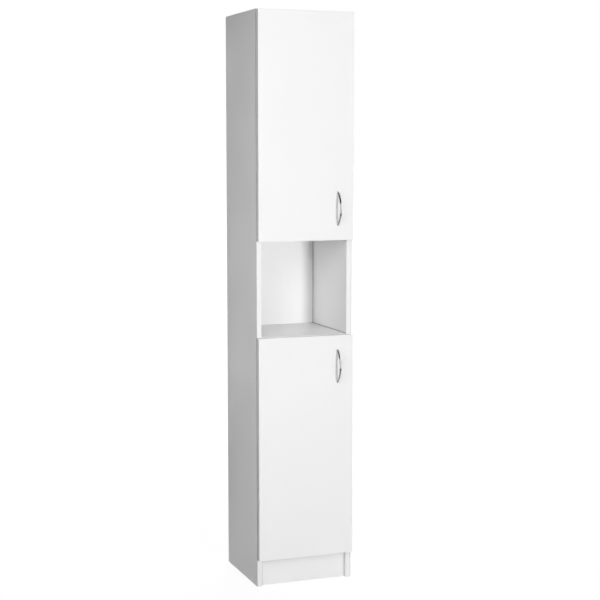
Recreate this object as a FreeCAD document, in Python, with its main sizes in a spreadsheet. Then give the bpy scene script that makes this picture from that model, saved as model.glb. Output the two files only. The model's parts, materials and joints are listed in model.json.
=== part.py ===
"""Tall bathroom cabinet: two left-hung doors with an open niche between them.

Row frame: +X to the right, +Y to the rear, +Z up, origin on the floor under the middle of
the bounding box. Sizes are millimetres. In the expressions below x is counted from the middle
of the width, z from the floor, and y from the front edge of the side panels (see place).
"""
import FreeCAD, Part
import os

from FreeCAD import Placement, Rotation, Vector

os.makedirs("parts", exist_ok=True)
doc = FreeCAD.newDocument("tall_bathroom_cabinet")

# ---------------------------------------------------------------- driving dimensions

DIMENSIONS = (
    ("height", 1700, "floor to the top of the side panels"),
    ("width", 300, "outer width"),
    ("carcass_depth", 282, "depth of the side panels"),
    ("board", 16, "thickness of the carcass boards and shelves"),
    ("door_board", 16, "thickness of a door"),
    ("door_height", 666, "height of each door"),
    ("door_gap", 2, "air between a closed door and the carcass"),
    ("reveal", 1.5, "margin between a door and the carcass outline"),
    ("door_round", 1, "rounding of a door's front edges"),
    ("plinth_height", 82, "floor to the underside of the bottom panel"),
    ("plinth_setback", 10, "plinth board behind the side panels' front edges"),
    ("back_board", 3, "thickness of the back panel"),
    ("rebate_depth", 4, "depth of the rebate for the back panel"),
    ("rebate_width", 8, "width of that rebate"),
    ("back_play", 0.5, "play of the back panel in its rebate"),
    ("shelf_depth", 250, "depth of a loose shelf"),
    ("shelf_play", 1, "play of a loose shelf at its sides and back"),
    ("row_inset", 37, "rows of 5 mm holes behind the front and before the back"),
    ("row_pitch", 32, "distance between the holes of a row"),
    ("shelf_pin_bore", 5, "diameter of a shelf pin's hole"),
    ("shelf_pin_depth", 8, "depth of a shelf pin's hole"),
    ("shelf_pin_reach", 8, "part of a shelf pin that carries the shelf"),
    ("shelf_pin_collar", 8, "diameter of a shelf pin's collar"),
    ("collar_thick", 0.8, "thickness of that collar"),
    ("fit", 0.05, "radial clearance of fasteners in their holes"),
    ("cam_bore", 15, "diameter of a cam lock's bore"),
    ("cam_depth", 12.5, "depth of a cam lock's bore"),
    ("cam_reach", 34, "side panel's inner face to the axis of a cam"),
    ("cam_front", 50, "front pair of cams behind the front edges"),
    ("cam_rear", 222, "rear pair of cams behind the front edges"),
    ("cam_slot", 2, "width of the cam's screwdriver slot"),
    ("cam_slot_length", 10, "length of that slot"),
    ("cam_slot_depth", 1, "depth of that slot"),
    ("bolt_bore", 6, "diameter of the cam bolt's hole in the side panel"),
    ("bolt_depth", 11, "depth of that hole"),
    ("bolt_shank", 4, "diameter of a cam bolt's shank"),
    ("bolt_head", 6, "diameter of a cam bolt's head"),
    ("bolt_head_length", 3, "length of that head"),
    ("bolt_channel", 8, "diameter of the bolt's hole in the panel's end"),
    ("cap_diameter", 17, "diameter of a cam's cover cap"),
    ("cap_thick", 1, "thickness of a cover cap"),
    ("dowel_bore", 8, "diameter of a dowel's hole"),
    ("dowel_in_side", 11, "dowel's hole in the side panel"),
    ("dowel_in_panel", 20, "dowel's hole in a panel's end"),
    ("dowel_slack", 0.5, "air at each end of a dowel"),
    ("nail_diameter", 1.4, "diameter of a back panel nail"),
    ("nail_length", 16, "length of a nail under its head"),
    ("nail_head", 4, "diameter of a nail's head"),
    ("nail_head_thick", 0.6, "thickness of a nail's head"),
    ("glide_diameter", 14, "diameter of a floor glide"),
    ("glide_thick", 2, "thickness of a floor glide"),
    ("glide_spike", 2, "diameter of a glide's nail"),
    ("glide_spike_length", 14, "length of a glide's nail"),
    ("glide_inset", 25, "glides behind the front edge and before the rear edge"),
    ("bracket_spacing", 140, "distance between the two wall brackets"),
    ("bracket_width", 20, "width of a wall bracket"),
    ("bracket_leg", 28, "length of each leg of a wall bracket"),
    ("bracket_steel", 2, "thickness of a wall bracket"),
    ("wall_hole", 6, "diameter of a wall bracket's hole to the wall"),
    ("wood_screw", 3.5, "diameter of a small wood screw"),
    ("wood_screw_length", 12, "length of a small wood screw under its head"),
    ("wood_screw_head", 7, "diameter of a small wood screw's head"),
    ("wood_screw_head_thick", 1.6, "thickness of that head"),
    ("handle_spacing", 96, "distance between a handle's screws"),
    ("handle_rise", 25, "door face to the middle of the bow at its crown"),
    ("bow_diameter", 5.5, "diameter of the bow's bar"),
    ("foot_diameter", 6.4, "diameter of a handle's foot"),
    ("foot_length", 6, "length of a handle's foot"),
    ("handle_end", 93, "handle's middle to the door end at the niche"),
    ("handle_edge", 50, "handle's axis to the door's free edge"),
    ("handle_screw", 4, "diameter of a handle screw"),
    ("handle_thread", 4.5, "length of a handle screw's thread in the foot"),
    ("handle_screw_head", 8, "diameter of a handle screw's head"),
    ("handle_screw_head_thick", 2.5, "thickness of that head"),
    ("handle_screw_hole", 4.4, "diameter of a handle screw's hole in the door"),
    ("hinge_end", 100, "hinge's middle to the end of its door"),
    ("cup_diameter", 35, "diameter of a hinge cup's bore"),
    ("cup_bore_depth", 12, "depth of that bore"),
    ("cup_depth", 11.5, "depth of a hinge cup"),
    ("cup_edge", 3, "cup's bore to the door's hinge edge"),
    ("cup_wall", 1, "wall of a hinge cup"),
    ("cup_rim", 0.8, "thickness of the cup's rim on the door"),
    ("rim_lap", 0.5, "rim beyond the bore"),
    ("ear_offset", 9.5, "cup's axis to its screws, away from the hinge edge"),
    ("ear_spacing", 45, "distance between a cup's two screws"),
    ("ear_width", 12, "width of a cup's ear"),
    ("hinge_pin", 2.6, "diameter of a hinge pin"),
    ("hinge_play", 0.06, "radial running clearance on a hinge pin"),
    ("pin_seat", 0.03, "radial clearance of a hinge pin in its fixed seat"),
    ("door_pin_x", 12, "door pin's axis from the outer face of the left side"),
    ("door_pin_y", -5, "door pin's axis before the carcass front"),
    ("arm_pin_x", 33, "arm pin's axis from the outer face of the left side"),
    ("arm_pin_y", 4, "arm pin's axis behind the carcass front"),
    ("bend_x", 21, "bend of the link from the outer face of the left side"),
    ("bend_y", -8.5, "bend of the link before the carcass front"),
    ("link_thick", 2.6, "thickness of a hinge link"),
    ("link_width", 10, "width of a hinge link"),
    ("link_eye", 4.8, "diameter of a link's eyes"),
    ("cheek_gap", 0.6, "air between a link and the arm's cheeks"),
    ("arm_steel", 1.4, "thickness of the arm's sheet"),
    ("arm_eye", 7.2, "diameter of the arm's front end"),
    ("arm_top", 13.2, "arm's web above the side panel"),
    ("arm_floor", 4, "arm's cheeks above the side panel"),
    ("arm_front", 9, "arm's web behind the carcass front"),
    ("arm_rear", 60, "arm's rear end behind the carcass front"),
    ("plate_thick", 3, "thickness of a mounting plate's wings"),
    ("plate_reach", 46, "length of a mounting plate's wings"),
    ("plate_width", 14, "width of a mounting plate's wings"),
    ("plate_screws", 32, "distance between a plate's two screws"),
    ("saddle_front", 30, "front of the plate's saddle behind the carcass front"),
    ("saddle_rear", 56, "rear of the plate's saddle behind the carcass front"),
    ("euro_screw", 5, "diameter of a plate screw"),
    ("euro_screw_depth", 12, "depth of a plate screw's hole in the side panel"),
    ("euro_head", 8.4, "diameter of a plate screw's head"),
    ("euro_head_thick", 2, "thickness of that head"),
    ("arm_screw_y", 48, "arm screw behind the carcass front"),
    ("adjuster_y", 20, "adjusting screw behind the carcass front"),
    ("arm_screw", 4, "diameter of the arm and adjusting screws"),
    ("arm_screw_length", 8, "length of the arm and adjusting screws"),
    ("adjuster_proud", 0.8, "adjusting screw beyond the arm's web"),
    ("arm_screw_head", 7, "diameter of an arm screw's head"),
    ("arm_screw_head_thick", 2, "thickness of that head"),
    ("bumper_diameter", 7, "diameter of a door bumper"),
    ("bumper_air", 0.3, "air between a bumper and the side panel"),
    ("bumper_inset", 12, "bumper's middle to the end of the door"),
)

sheet = doc.addObject("Spreadsheet::Sheet", "dims")
for row, (alias, value, meaning) in enumerate(DIMENSIONS, start=1):
    sheet.set(f"A{row}", alias.replace("_", " "))
    sheet.set(f"B{row}", str(value))
    sheet.set(f"C{row}", meaning)
    sheet.setAlias(f"B{row}", alias)
doc.recompute()

# ---------------------------------------------------------------- places shared by the pieces

FRONT = ("(dims.door_gap + dims.door_board + dims.handle_rise + dims.bow_diameter / 2"
         " - dims.carcass_depth) / 2")
OUTER = "(dims.width / 2)"
INNER = "(dims.width / 2 - dims.board)"
BACK = "(dims.carcass_depth - dims.rebate_depth)"
BOTTOM = "(dims.plinth_height)"
NICHE_FLOOR = "(dims.plinth_height + dims.door_height + 2 * dims.reveal - dims.board)"
NICHE_CEILING = "(dims.height - dims.door_height - 2 * dims.reveal)"
TOP = "(dims.height - dims.board)"
BAY = "(dims.door_height + 2 * dims.reveal - 2 * dims.board)"
DOOR_BACK = "(-dims.door_gap)"
DOOR_FRONT = "(-dims.door_gap - dims.door_board)"
DOOR_SIDE = "(dims.width / 2 - dims.reveal)"

BRACKET_SCREW_Y = f"({BACK} - dims.bracket_leg * 2 / 3)"
WALL_HOLE_Z = f"({TOP} - dims.bracket_leg * 2 / 3)"

# name of each carcass panel, its underside, and the face its cams are set in (+1 top, -1 underside)
PANELS = (
    ("bottom_panel", BOTTOM, -1),
    ("niche_floor_panel", NICHE_FLOOR, -1),
    ("niche_ceiling_panel", NICHE_CEILING, 1),
    ("top_panel", TOP, -1),
)
CAPPED_PANELS = PANELS[1:]
CAM_ROWS = ("dims.cam_front", "dims.cam_rear")
DOWEL_ROW = "(dims.cam_front + dims.cam_rear) / 2"
PLINTH_DOWELS = ("dims.plinth_height / 3", "dims.plinth_height * 2 / 3")
PLINTH_MIDDLE = "(dims.plinth_setback + dims.board / 2)"
SIDES = {"left": -1, "right": 1}

# each compartment behind a door: floor of its bay, underside of its door, end at the niche
COMPARTMENTS = {
    "lower": {
        "floor": f"({BOTTOM} + dims.board)",
        "door": f"({BOTTOM} + dims.reveal)",
        "handle": f"({BOTTOM} + dims.reveal + dims.door_height - dims.handle_end)",
    },
    "upper": {
        "floor": f"({NICHE_CEILING} + dims.board)",
        "door": f"({NICHE_CEILING} + dims.reveal)",
        "handle": f"({NICHE_CEILING} + dims.reveal + dims.handle_end)",
    },
}
SHELF_COUNT = 2
SHELF_NUMBERS = range(1, SHELF_COUNT + 1)
HOLES_EACH_WAY = 2
ROW_STEPS = range(-HOLES_EACH_WAY, HOLES_EACH_WAY + 1)
PIN_ROWS = ("dims.row_inset", f"({BACK} - dims.row_inset)")
SIDE_NAILS = 8

AXES = {
    "+x": Rotation(Vector(0, 1, 0), 90),
    "-x": Rotation(Vector(0, 1, 0), -90),
    "+y": Rotation(Vector(1, 0, 0), -90),
    "-y": Rotation(Vector(1, 0, 0), 90),
    "+z": Rotation(),
    "-z": Rotation(Vector(1, 0, 0), 180),
}

nodes = []

# ---------------------------------------------------------------- building blocks


def place(item, x, y, z):
    """Tie an object's position to the sheet; y counts from the carcass front."""
    item.setExpression("Placement.Base.x", x)
    item.setExpression("Placement.Base.y", f"{FRONT} + {y}")
    item.setExpression("Placement.Base.z", z)
    return item


def box(name, length, depth, height, x, y, z):
    """A box with its lowest corner at x, y, z."""
    item = doc.addObject("Part::Box", name)
    item.setExpression("Length", length)
    item.setExpression("Width", depth)
    item.setExpression("Height", height)
    return place(item, x, y, z)


def rod(name, diameter, length, x, y, z, axis):
    """A cylinder that starts at x, y, z and runs along the named axis."""
    item = doc.addObject("Part::Cylinder", name)
    item.setExpression("Radius", f"({diameter}) / 2")
    item.setExpression("Height", length)
    item.Placement = Placement(Vector(), AXES[axis])
    return place(item, x, y, z)


def bar(name, start, end, thickness, height, z):
    """An upright plate of one thickness between two points of the plan, in sheet terms."""
    run_x, run_y = f"({end[0]} - {start[0]})", f"({end[1]} - {start[1]})"
    run = f"sqrt({run_x} * {run_x} + {run_y} * {run_y})"
    item = doc.addObject("Part::Box", name)
    item.setExpression("Length", run)
    item.setExpression("Width", thickness)
    item.setExpression("Height", height)
    item.Placement = Placement(Vector(), Rotation(Vector(0, 0, 1), 0))
    item.setExpression("Placement.Rotation.Angle", f"atan2({run_y}; {run_x})")
    half = f"({thickness}) / 2 / {run}"
    return place(item, f"{start[0]} + {run_y} * {half}", f"{start[1]} - {run_x} * {half}", z)


def bundle(name, items):
    """Several separate solids as one object."""
    if len(items) == 1:
        return items[0]
    item = doc.addObject("Part::Compound", name)
    item.Links = items
    return item


def fuse(name, items):
    item = doc.addObject("Part::MultiFuse", name)
    item.Shapes = items
    return item


def cut(name, base, tools):
    """Cut tools that don't touch each other out of a base."""
    item = doc.addObject("Part::Cut", name)
    item.Base = base
    item.Tool = bundle(f"{name}_tools", tools)
    return item


def node(name, item):
    """Name an object as a piece of the cabinet."""
    item.Label = name
    nodes.append(item)
    return item


def group(name, items):
    """Like pieces that share one node."""
    item = doc.addObject("Part::Compound", f"{name}_group")
    item.Links = items
    return node(name, item)


def away(side):
    """The axis that leads from the middle into the side panel."""
    return "+x" if side > 0 else "-x"


def shelf_underside(compartment, number):
    floor = COMPARTMENTS[compartment]["floor"]
    space = f"(({BAY} - {SHELF_COUNT} * dims.board) / {SHELF_COUNT + 1})"
    return f"({floor} + {number} * {space} + {number - 1} * dims.board)"


def hinge_heights(compartment):
    door = COMPARTMENTS[compartment]["door"]
    return {
        "low": f"({door} + dims.hinge_end)",
        "high": f"({door} + dims.door_height - dims.hinge_end)",
    }


def side_nail_height(number):
    span = f"({TOP} - {BOTTOM} - 2 * dims.board)"
    return f"({BOTTOM} + dims.board + {span} * {number} / {SIDE_NAILS - 1})"


def cross_nails():
    """Where the nails go through the back panel into the cross panels."""
    spots = []
    for name, underside, _ in PANELS:
        height = f"({underside} + dims.board / 2)"
        if name == "top_panel":
            height = f"({underside} + dims.rebate_width / 2)"
        for side in SIDES.values():
            spots.append((f"{name}_{side}", f"{side} * {INNER} / 2", height))
    return spots


# ---------------------------------------------------------------- carcass boards


def side_tools(label, side):
    """Everything bored into the inner face, the bottom edge and the rebate of a side panel."""
    axis = away(side)
    face = f"{side} * {INNER}"
    tools = []
    for panel, underside, _ in PANELS:
        middle = f"({underside} + dims.board / 2)"
        for number, row_y in enumerate(CAM_ROWS):
            tools.append(rod(f"{label}_{panel}_bolt_hole_{number}", "dims.bolt_bore",
                             "dims.bolt_depth", face, row_y, middle, axis))
        tools.append(rod(f"{label}_{panel}_dowel_hole", "dims.dowel_bore",
                         "dims.dowel_in_side", face, DOWEL_ROW, middle, axis))
    for number, height in enumerate(PLINTH_DOWELS):
        tools.append(rod(f"{label}_plinth_dowel_hole_{number}", "dims.dowel_bore",
                         "dims.dowel_in_side", face, PLINTH_MIDDLE, height, axis))
    for compartment in COMPARTMENTS:
        for number in SHELF_NUMBERS:
            pin = f"({shelf_underside(compartment, number)} - dims.shelf_pin_bore / 2)"
            for row_number, row_y in enumerate(PIN_ROWS):
                for step in ROW_STEPS:
                    tools.append(rod(
                        f"{label}_{compartment}_row_{number}_{row_number}_{step + HOLES_EACH_WAY}",
                        "dims.shelf_pin_bore", "dims.shelf_pin_depth",
                        face, row_y, f"{pin} + {step} * dims.row_pitch", axis))
    if side < 0:
        for compartment in COMPARTMENTS:
            for end, height in hinge_heights(compartment).items():
                for sign in (-1, 1):
                    tools.append(rod(
                        f"{compartment}_{end}_plate_hole_{sign + 1}", "dims.euro_screw",
                        "dims.euro_screw_depth", face, "dims.row_inset",
                        f"{height} + {sign} * dims.plate_screws / 2", axis))
    for number in range(SIDE_NAILS):
        tools.append(rod(f"{label}_nail_hole_{number}", "dims.nail_diameter + 2 * dims.pin_seat",
                         "dims.nail_length", f"{side} * ({INNER} + dims.rebate_width / 2)",
                         BACK, side_nail_height(number), "-y"))
    for number, row_y in enumerate(("dims.glide_inset", "dims.carcass_depth - dims.glide_inset")):
        tools.append(rod(f"{label}_spike_hole_{number}", "dims.glide_spike + 2 * dims.pin_seat",
                         "dims.glide_spike_length", f"{side} * ({OUTER} - dims.board / 2)",
                         row_y, "dims.glide_thick", "+z"))
    return tools


def side_panel(label, side):
    left_edge = f"-{OUTER}" if side < 0 else INNER
    blank = box(f"{label}_side_blank", "dims.board", "dims.carcass_depth",
                "dims.height - dims.glide_thick", left_edge, "0", "dims.glide_thick")
    rebate_edge = f"-{INNER} - dims.rebate_width" if side < 0 else INNER
    rebate = box(f"{label}_side_rebate", "dims.rebate_width", "dims.rebate_depth",
                 "dims.height - dims.glide_thick", rebate_edge, BACK, "dims.glide_thick")
    rebated = cut(f"{label}_side_rebated", blank, [rebate])
    return node(f"{label}_side_panel", cut(f"{label}_side", rebated, side_tools(label, side)))


def cross_panel(name, underside, cam_face):
    """A panel between the sides, bored for its cams, cam bolts and dowels."""
    full = name == "top_panel"
    depth = "dims.carcass_depth" if full else BACK
    piece = box(f"{name}_blank", f"2 * {INNER}", depth, "dims.board", f"-{INNER}", "0", underside)
    if full:
        rebate = box(f"{name}_rebate", f"2 * {INNER}", "dims.rebate_depth", "dims.rebate_width",
                     f"-{INNER}", BACK, underside)
        piece = cut(f"{name}_rebated", piece, [rebate])
    face = underside if cam_face < 0 else f"({underside} + dims.board)"
    into = "+z" if cam_face < 0 else "-z"
    middle = f"({underside} + dims.board / 2)"
    bores, channels = [], []
    for label, side in SIDES.items():
        for number, row_y in enumerate(CAM_ROWS):
            bores.append(rod(f"{name}_{label}_cam_bore_{number}", "dims.cam_bore", "dims.cam_depth",
                             f"{side} * ({INNER} - dims.cam_reach)", row_y, face, into))
            channels.append(rod(f"{name}_{label}_channel_{number}", "dims.bolt_channel",
                                "dims.cam_reach", f"{side} * ({INNER} - dims.cam_reach)",
                                row_y, middle, away(side)))
        channels.append(rod(f"{name}_{label}_dowel_hole", "dims.dowel_bore", "dims.dowel_in_panel",
                            f"{side} * ({INNER} - dims.dowel_in_panel)", DOWEL_ROW, middle,
                            away(side)))
        channels.append(rod(f"{name}_{label}_nail_hole", "dims.nail_diameter + 2 * dims.pin_seat",
                            "dims.nail_length", f"{side} * {INNER} / 2", BACK,
                            f"({underside} + dims.rebate_width / 2)" if full else middle, "-y"))
    if full:
        for label, side in SIDES.items():
            channels.append(rod(f"{name}_{label}_bracket_hole", "dims.wood_screw",
                                "dims.wood_screw_length", f"{side} * dims.bracket_spacing / 2",
                                BRACKET_SCREW_Y, underside, "+z"))
    bored = cut(f"{name}_bored", piece, bores)
    return node(name, cut(f"{name}_drilled", bored, channels))


def plinth_board():
    height = "dims.plinth_height - dims.glide_thick"
    blank = box("plinth_blank", f"2 * {INNER}", "dims.board", height, f"-{INNER}",
                "dims.plinth_setback", "dims.glide_thick")
    holes = []
    for label, side in SIDES.items():
        for number, place_z in enumerate(PLINTH_DOWELS):
            holes.append(rod(f"plinth_{label}_dowel_hole_{number}", "dims.dowel_bore",
                             "dims.dowel_in_panel", f"{side} * ({INNER} - dims.dowel_in_panel)",
                             PLINTH_MIDDLE, place_z, away(side)))
    return node("plinth_board", cut("plinth", blank, holes))


def back_panel():
    half = f"({INNER} + dims.rebate_width - dims.back_play)"
    height = f"{TOP} + dims.rebate_width - dims.back_play - {BOTTOM}"
    blank = box("back_blank", f"2 * {half}", "dims.back_board", height, f"-{half}", BACK, BOTTOM)
    holes = []
    for label, side in SIDES.items():
        for number in range(SIDE_NAILS):
            holes.append(rod(f"back_{label}_nail_hole_{number}",
                             "dims.nail_diameter + 2 * dims.pin_seat", "dims.back_board",
                             f"{side} * ({INNER} + dims.rebate_width / 2)", BACK,
                             side_nail_height(number), "+y"))
        holes.append(rod(f"back_{label}_wall_hole", "dims.wall_hole", "dims.back_board",
                         f"{side} * dims.bracket_spacing / 2", BACK, WALL_HOLE_Z, "+y"))
    for spot, x, z in cross_nails():
        holes.append(rod(f"back_{spot}_nail_hole", "dims.nail_diameter + 2 * dims.pin_seat",
                         "dims.back_board", x, BACK, z, "+y"))
    return node("back_panel", cut("back", blank, holes))


def shelf(compartment, number):
    return node(f"{compartment}_shelf_{number}", box(
        f"{compartment}_shelf_board_{number}", f"2 * ({INNER} - dims.shelf_play)",
        "dims.shelf_depth", "dims.board", f"-({INNER} - dims.shelf_play)",
        f"{BACK} - dims.shelf_play - dims.shelf_depth", shelf_underside(compartment, number)))


# ---------------------------------------------------------------- fasteners of the carcass


def cam_locks():
    """Cams in the panels: a slotted disc with a pocket for the head of its bolt."""
    cams = []
    for panel, underside, cam_face in PANELS:
        face = underside if cam_face < 0 else f"({underside} + dims.board)"
        into = "+z" if cam_face < 0 else "-z"
        middle = f"({underside} + dims.board / 2)"
        for label, side in SIDES.items():
            x = f"{side} * ({INNER} - dims.cam_reach)"
            for number, row_y in enumerate(CAM_ROWS):
                name = f"{panel}_{label}_cam_{number}"
                disc = rod(f"{name}_disc", "dims.cam_bore - 2 * dims.fit",
                           "dims.cam_depth - dims.fit", x, row_y, face, into)
                pocket = rod(f"{name}_pocket", "dims.bolt_channel", "dims.cam_bore",
                             f"{side} * ({INNER} - dims.cam_reach - dims.bolt_head_length)",
                             row_y, middle, away(side))
                slot_z = face if cam_face < 0 else f"{face} - dims.cam_slot_depth"
                slot = box(f"{name}_slot", "dims.cam_slot_length", "dims.cam_slot",
                           "dims.cam_slot_depth", f"{x} - dims.cam_slot_length / 2",
                           f"{row_y} - dims.cam_slot / 2", slot_z)
                cams.append(cut(name, disc, [pocket, slot]))
    return group("cam_locks", cams)


def cam_bolts():
    bolts = []
    for panel, underside, _ in PANELS:
        middle = f"({underside} + dims.board / 2)"
        for label, side in SIDES.items():
            for number, row_y in enumerate(CAM_ROWS):
                name = f"{panel}_{label}_bolt_{number}"
                tip = f"{side} * ({INNER} - dims.cam_reach - dims.bolt_head_length / 2)"
                head = rod(f"{name}_head", "dims.bolt_head", "dims.bolt_head_length", tip, row_y,
                           middle, away(side))
                shank = rod(f"{name}_shank", "dims.bolt_shank",
                            "dims.cam_reach + dims.bolt_head_length / 2", tip, row_y, middle,
                            away(side))
                thread = rod(f"{name}_thread", "dims.bolt_bore - 2 * dims.fit",
                             "dims.bolt_depth - dims.fit", f"{side} * {INNER}", row_y, middle,
                             away(side))
                bolts.append(fuse(name, [head, shank, thread]))
    return group("cam_bolts", bolts)


def cover_caps():
    caps = []
    for panel, underside, cam_face in CAPPED_PANELS:
        face = underside if cam_face < 0 else f"({underside} + dims.board)"
        for label, side in SIDES.items():
            for number, row_y in enumerate(CAM_ROWS):
                caps.append(rod(f"{panel}_{label}_cap_{number}", "dims.cap_diameter",
                                "dims.cap_thick", f"{side} * ({INNER} - dims.cam_reach)",
                                row_y, face, "-z" if cam_face < 0 else "+z"))
    return group("cam_cover_caps", caps)


def dowels():
    spots = []
    for panel, underside, _ in PANELS:
        spots.append((panel, DOWEL_ROW, f"({underside} + dims.board / 2)"))
    for number, height in enumerate(PLINTH_DOWELS):
        spots.append((f"plinth_{number}", PLINTH_MIDDLE, height))
    pins = []
    for spot, y, z in spots:
        for label, side in SIDES.items():
            pins.append(rod(f"{spot}_{label}_dowel", "dims.dowel_bore - 2 * dims.fit",
                            "dims.dowel_in_panel + dims.dowel_in_side - 2 * dims.dowel_slack",
                            f"{side} * ({INNER} - dims.dowel_in_panel + dims.dowel_slack)",
                            y, z, away(side)))
    return group("dowels", pins)


def nail(name, x, z):
    shank = rod(f"{name}_shank", "dims.nail_diameter", "dims.nail_length", x,
                f"({BACK} + dims.back_board)", z, "-y")
    head = rod(f"{name}_head", "dims.nail_head", "dims.nail_head_thick", x,
               f"({BACK} + dims.back_board)", z, "+y")
    return fuse(name, [shank, head])


def back_nails():
    nails = []
    for label, side in SIDES.items():
        for number in range(SIDE_NAILS):
            nails.append(nail(f"{label}_nail_{number}",
                              f"{side} * ({INNER} + dims.rebate_width / 2)",
                              side_nail_height(number)))
    for spot, x, z in cross_nails():
        nails.append(nail(f"{spot}_nail", x, z))
    return group("back_panel_nails", nails)


def shelf_pins():
    pins = []
    for compartment in COMPARTMENTS:
        for number in SHELF_NUMBERS:
            height = f"({shelf_underside(compartment, number)} - dims.shelf_pin_bore / 2)"
            for label, side in SIDES.items():
                for row_number, row_y in enumerate(PIN_ROWS):
                    name = f"{compartment}_{label}_pin_{number}_{row_number}"
                    pin = rod(f"{name}_pin", "dims.shelf_pin_bore - 2 * dims.fit",
                              "dims.shelf_pin_reach + dims.shelf_pin_depth - dims.fit",
                              f"{side} * ({INNER} - dims.shelf_pin_reach)", row_y, height,
                              away(side))
                    collar = rod(f"{name}_collar", "dims.shelf_pin_collar", "dims.collar_thick",
                                 f"{side} * ({INNER} - dims.collar_thick)", row_y,
                                 height, away(side))
                    pins.append(fuse(name, [pin, collar]))
    return group("shelf_pins", pins)


def floor_glides():
    glides = []
    for label, side in SIDES.items():
        x = f"{side} * ({OUTER} - dims.board / 2)"
        for number, y in enumerate(("dims.glide_inset", "dims.carcass_depth - dims.glide_inset")):
            disc = rod(f"{label}_glide_{number}_disc", "dims.glide_diameter", "dims.glide_thick",
                       x, y, "0", "+z")
            spike = rod(f"{label}_glide_{number}_spike", "dims.glide_spike",
                        "dims.glide_thick + dims.glide_spike_length - dims.fit", x, y, "0", "+z")
            glides.append(fuse(f"{label}_glide_{number}", [disc, spike]))
    return group("floor_glides", glides)


# ---------------------------------------------------------------- wall brackets


def wall_bracket(label, side):
    """A steel angle under the top panel, open to the wall through the back panel."""
    left_edge = f"{side} * dims.bracket_spacing / 2 - dims.bracket_width / 2"
    flat = box(f"{label}_bracket_flat", "dims.bracket_width", "dims.bracket_leg",
               "dims.bracket_steel", left_edge, f"{BACK} - dims.bracket_leg",
               f"{TOP} - dims.bracket_steel")
    upright = box(f"{label}_bracket_upright", "dims.bracket_width", "dims.bracket_steel",
                  "dims.bracket_leg", left_edge, f"{BACK} - dims.bracket_steel",
                  f"{TOP} - dims.bracket_leg")
    angle = fuse(f"{label}_bracket_angle", [flat, upright])
    middle = f"{side} * dims.bracket_spacing / 2"
    wall = rod(f"{label}_bracket_wall_hole", "dims.wall_hole", "dims.bracket_steel", middle,
               f"{BACK} - dims.bracket_steel", WALL_HOLE_Z, "+y")
    screw = rod(f"{label}_bracket_screw_hole", "dims.wood_screw + 2 * dims.fit",
                "dims.bracket_steel", middle, BRACKET_SCREW_Y, f"{TOP} - dims.bracket_steel", "+z")
    return node(f"{label}_wall_bracket", cut(f"{label}_bracket", angle, [wall, screw]))


def wood_screw(name, x, y, z, axis, sunk):
    """A round-headed wood screw whose head lies at x, y, z; axis leads into the wood."""
    opposite = {"+": "-", "-": "+"}[axis[0]] + axis[1]
    shank = rod(f"{name}_shank", "dims.wood_screw - 2 * dims.fit",
                f"dims.wood_screw_length + {sunk} - dims.fit", x, y, z, axis)
    head = rod(f"{name}_head", "dims.wood_screw_head", "dims.wood_screw_head_thick", x, y, z,
               opposite)
    return fuse(name, [shank, head])


def bracket_screws():
    return group("wall_bracket_screws", [
        wood_screw(f"{label}_bracket_screw", f"{side} * dims.bracket_spacing / 2",
                   BRACKET_SCREW_Y, f"{TOP} - dims.bracket_steel", "+z", "dims.bracket_steel")
        for label, side in SIDES.items()])


# ---------------------------------------------------------------- doors and handles

EDGE_TOLERANCE = 0.001
HANDLE_X = f"({DOOR_SIDE} - dims.handle_edge)"
CUP_X = f"(-{DOOR_SIDE} + dims.cup_edge + dims.cup_diameter / 2)"
EAR_X = f"({CUP_X} + dims.ear_offset)"
BUMPER_X = f"({OUTER} - dims.board / 2)"


def front_edges(shape):
    """Numbers of the four edges round a board's front face."""
    front = shape.BoundBox.YMin
    return [number for number, edge in enumerate(shape.Edges, start=1)
            if edge.BoundBox.YMax < front + EDGE_TOLERANCE]


def door(compartment):
    bottom = COMPARTMENTS[compartment]["door"]
    blank = box(f"{compartment}_door_blank", f"2 * {DOOR_SIDE}", "dims.door_board",
                "dims.door_height", f"-{DOOR_SIDE}", DOOR_FRONT, bottom)
    doc.recompute()
    rounded = doc.addObject("Part::Fillet", f"{compartment}_door_rounded")
    rounded.Base = blank
    rounded.Edges = [(number, sheet.door_round, sheet.door_round)
                     for number in front_edges(blank.Shape)]
    tools = []
    for end, height in hinge_heights(compartment).items():
        tools.append(rod(f"{compartment}_{end}_cup_bore", "dims.cup_diameter",
                         "dims.cup_bore_depth", CUP_X, DOOR_BACK, height, "-y"))
        for sign in (-1, 1):
            tools.append(rod(f"{compartment}_{end}_ear_hole_{sign + 1}", "dims.wood_screw",
                             "dims.wood_screw_length", EAR_X, DOOR_BACK,
                             f"{height} + {sign} * dims.ear_spacing / 2", "-y"))
    for sign in (-1, 1):
        tools.append(rod(f"{compartment}_handle_hole_{sign + 1}", "dims.handle_screw_hole",
                         "dims.door_board", HANDLE_X, DOOR_FRONT,
                         f"{COMPARTMENTS[compartment]['handle']} + {sign} * dims.handle_spacing / 2",
                         "+y"))
    return node(f"{compartment}_door", cut(f"{compartment}_door_bored", rounded, tools))


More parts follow.
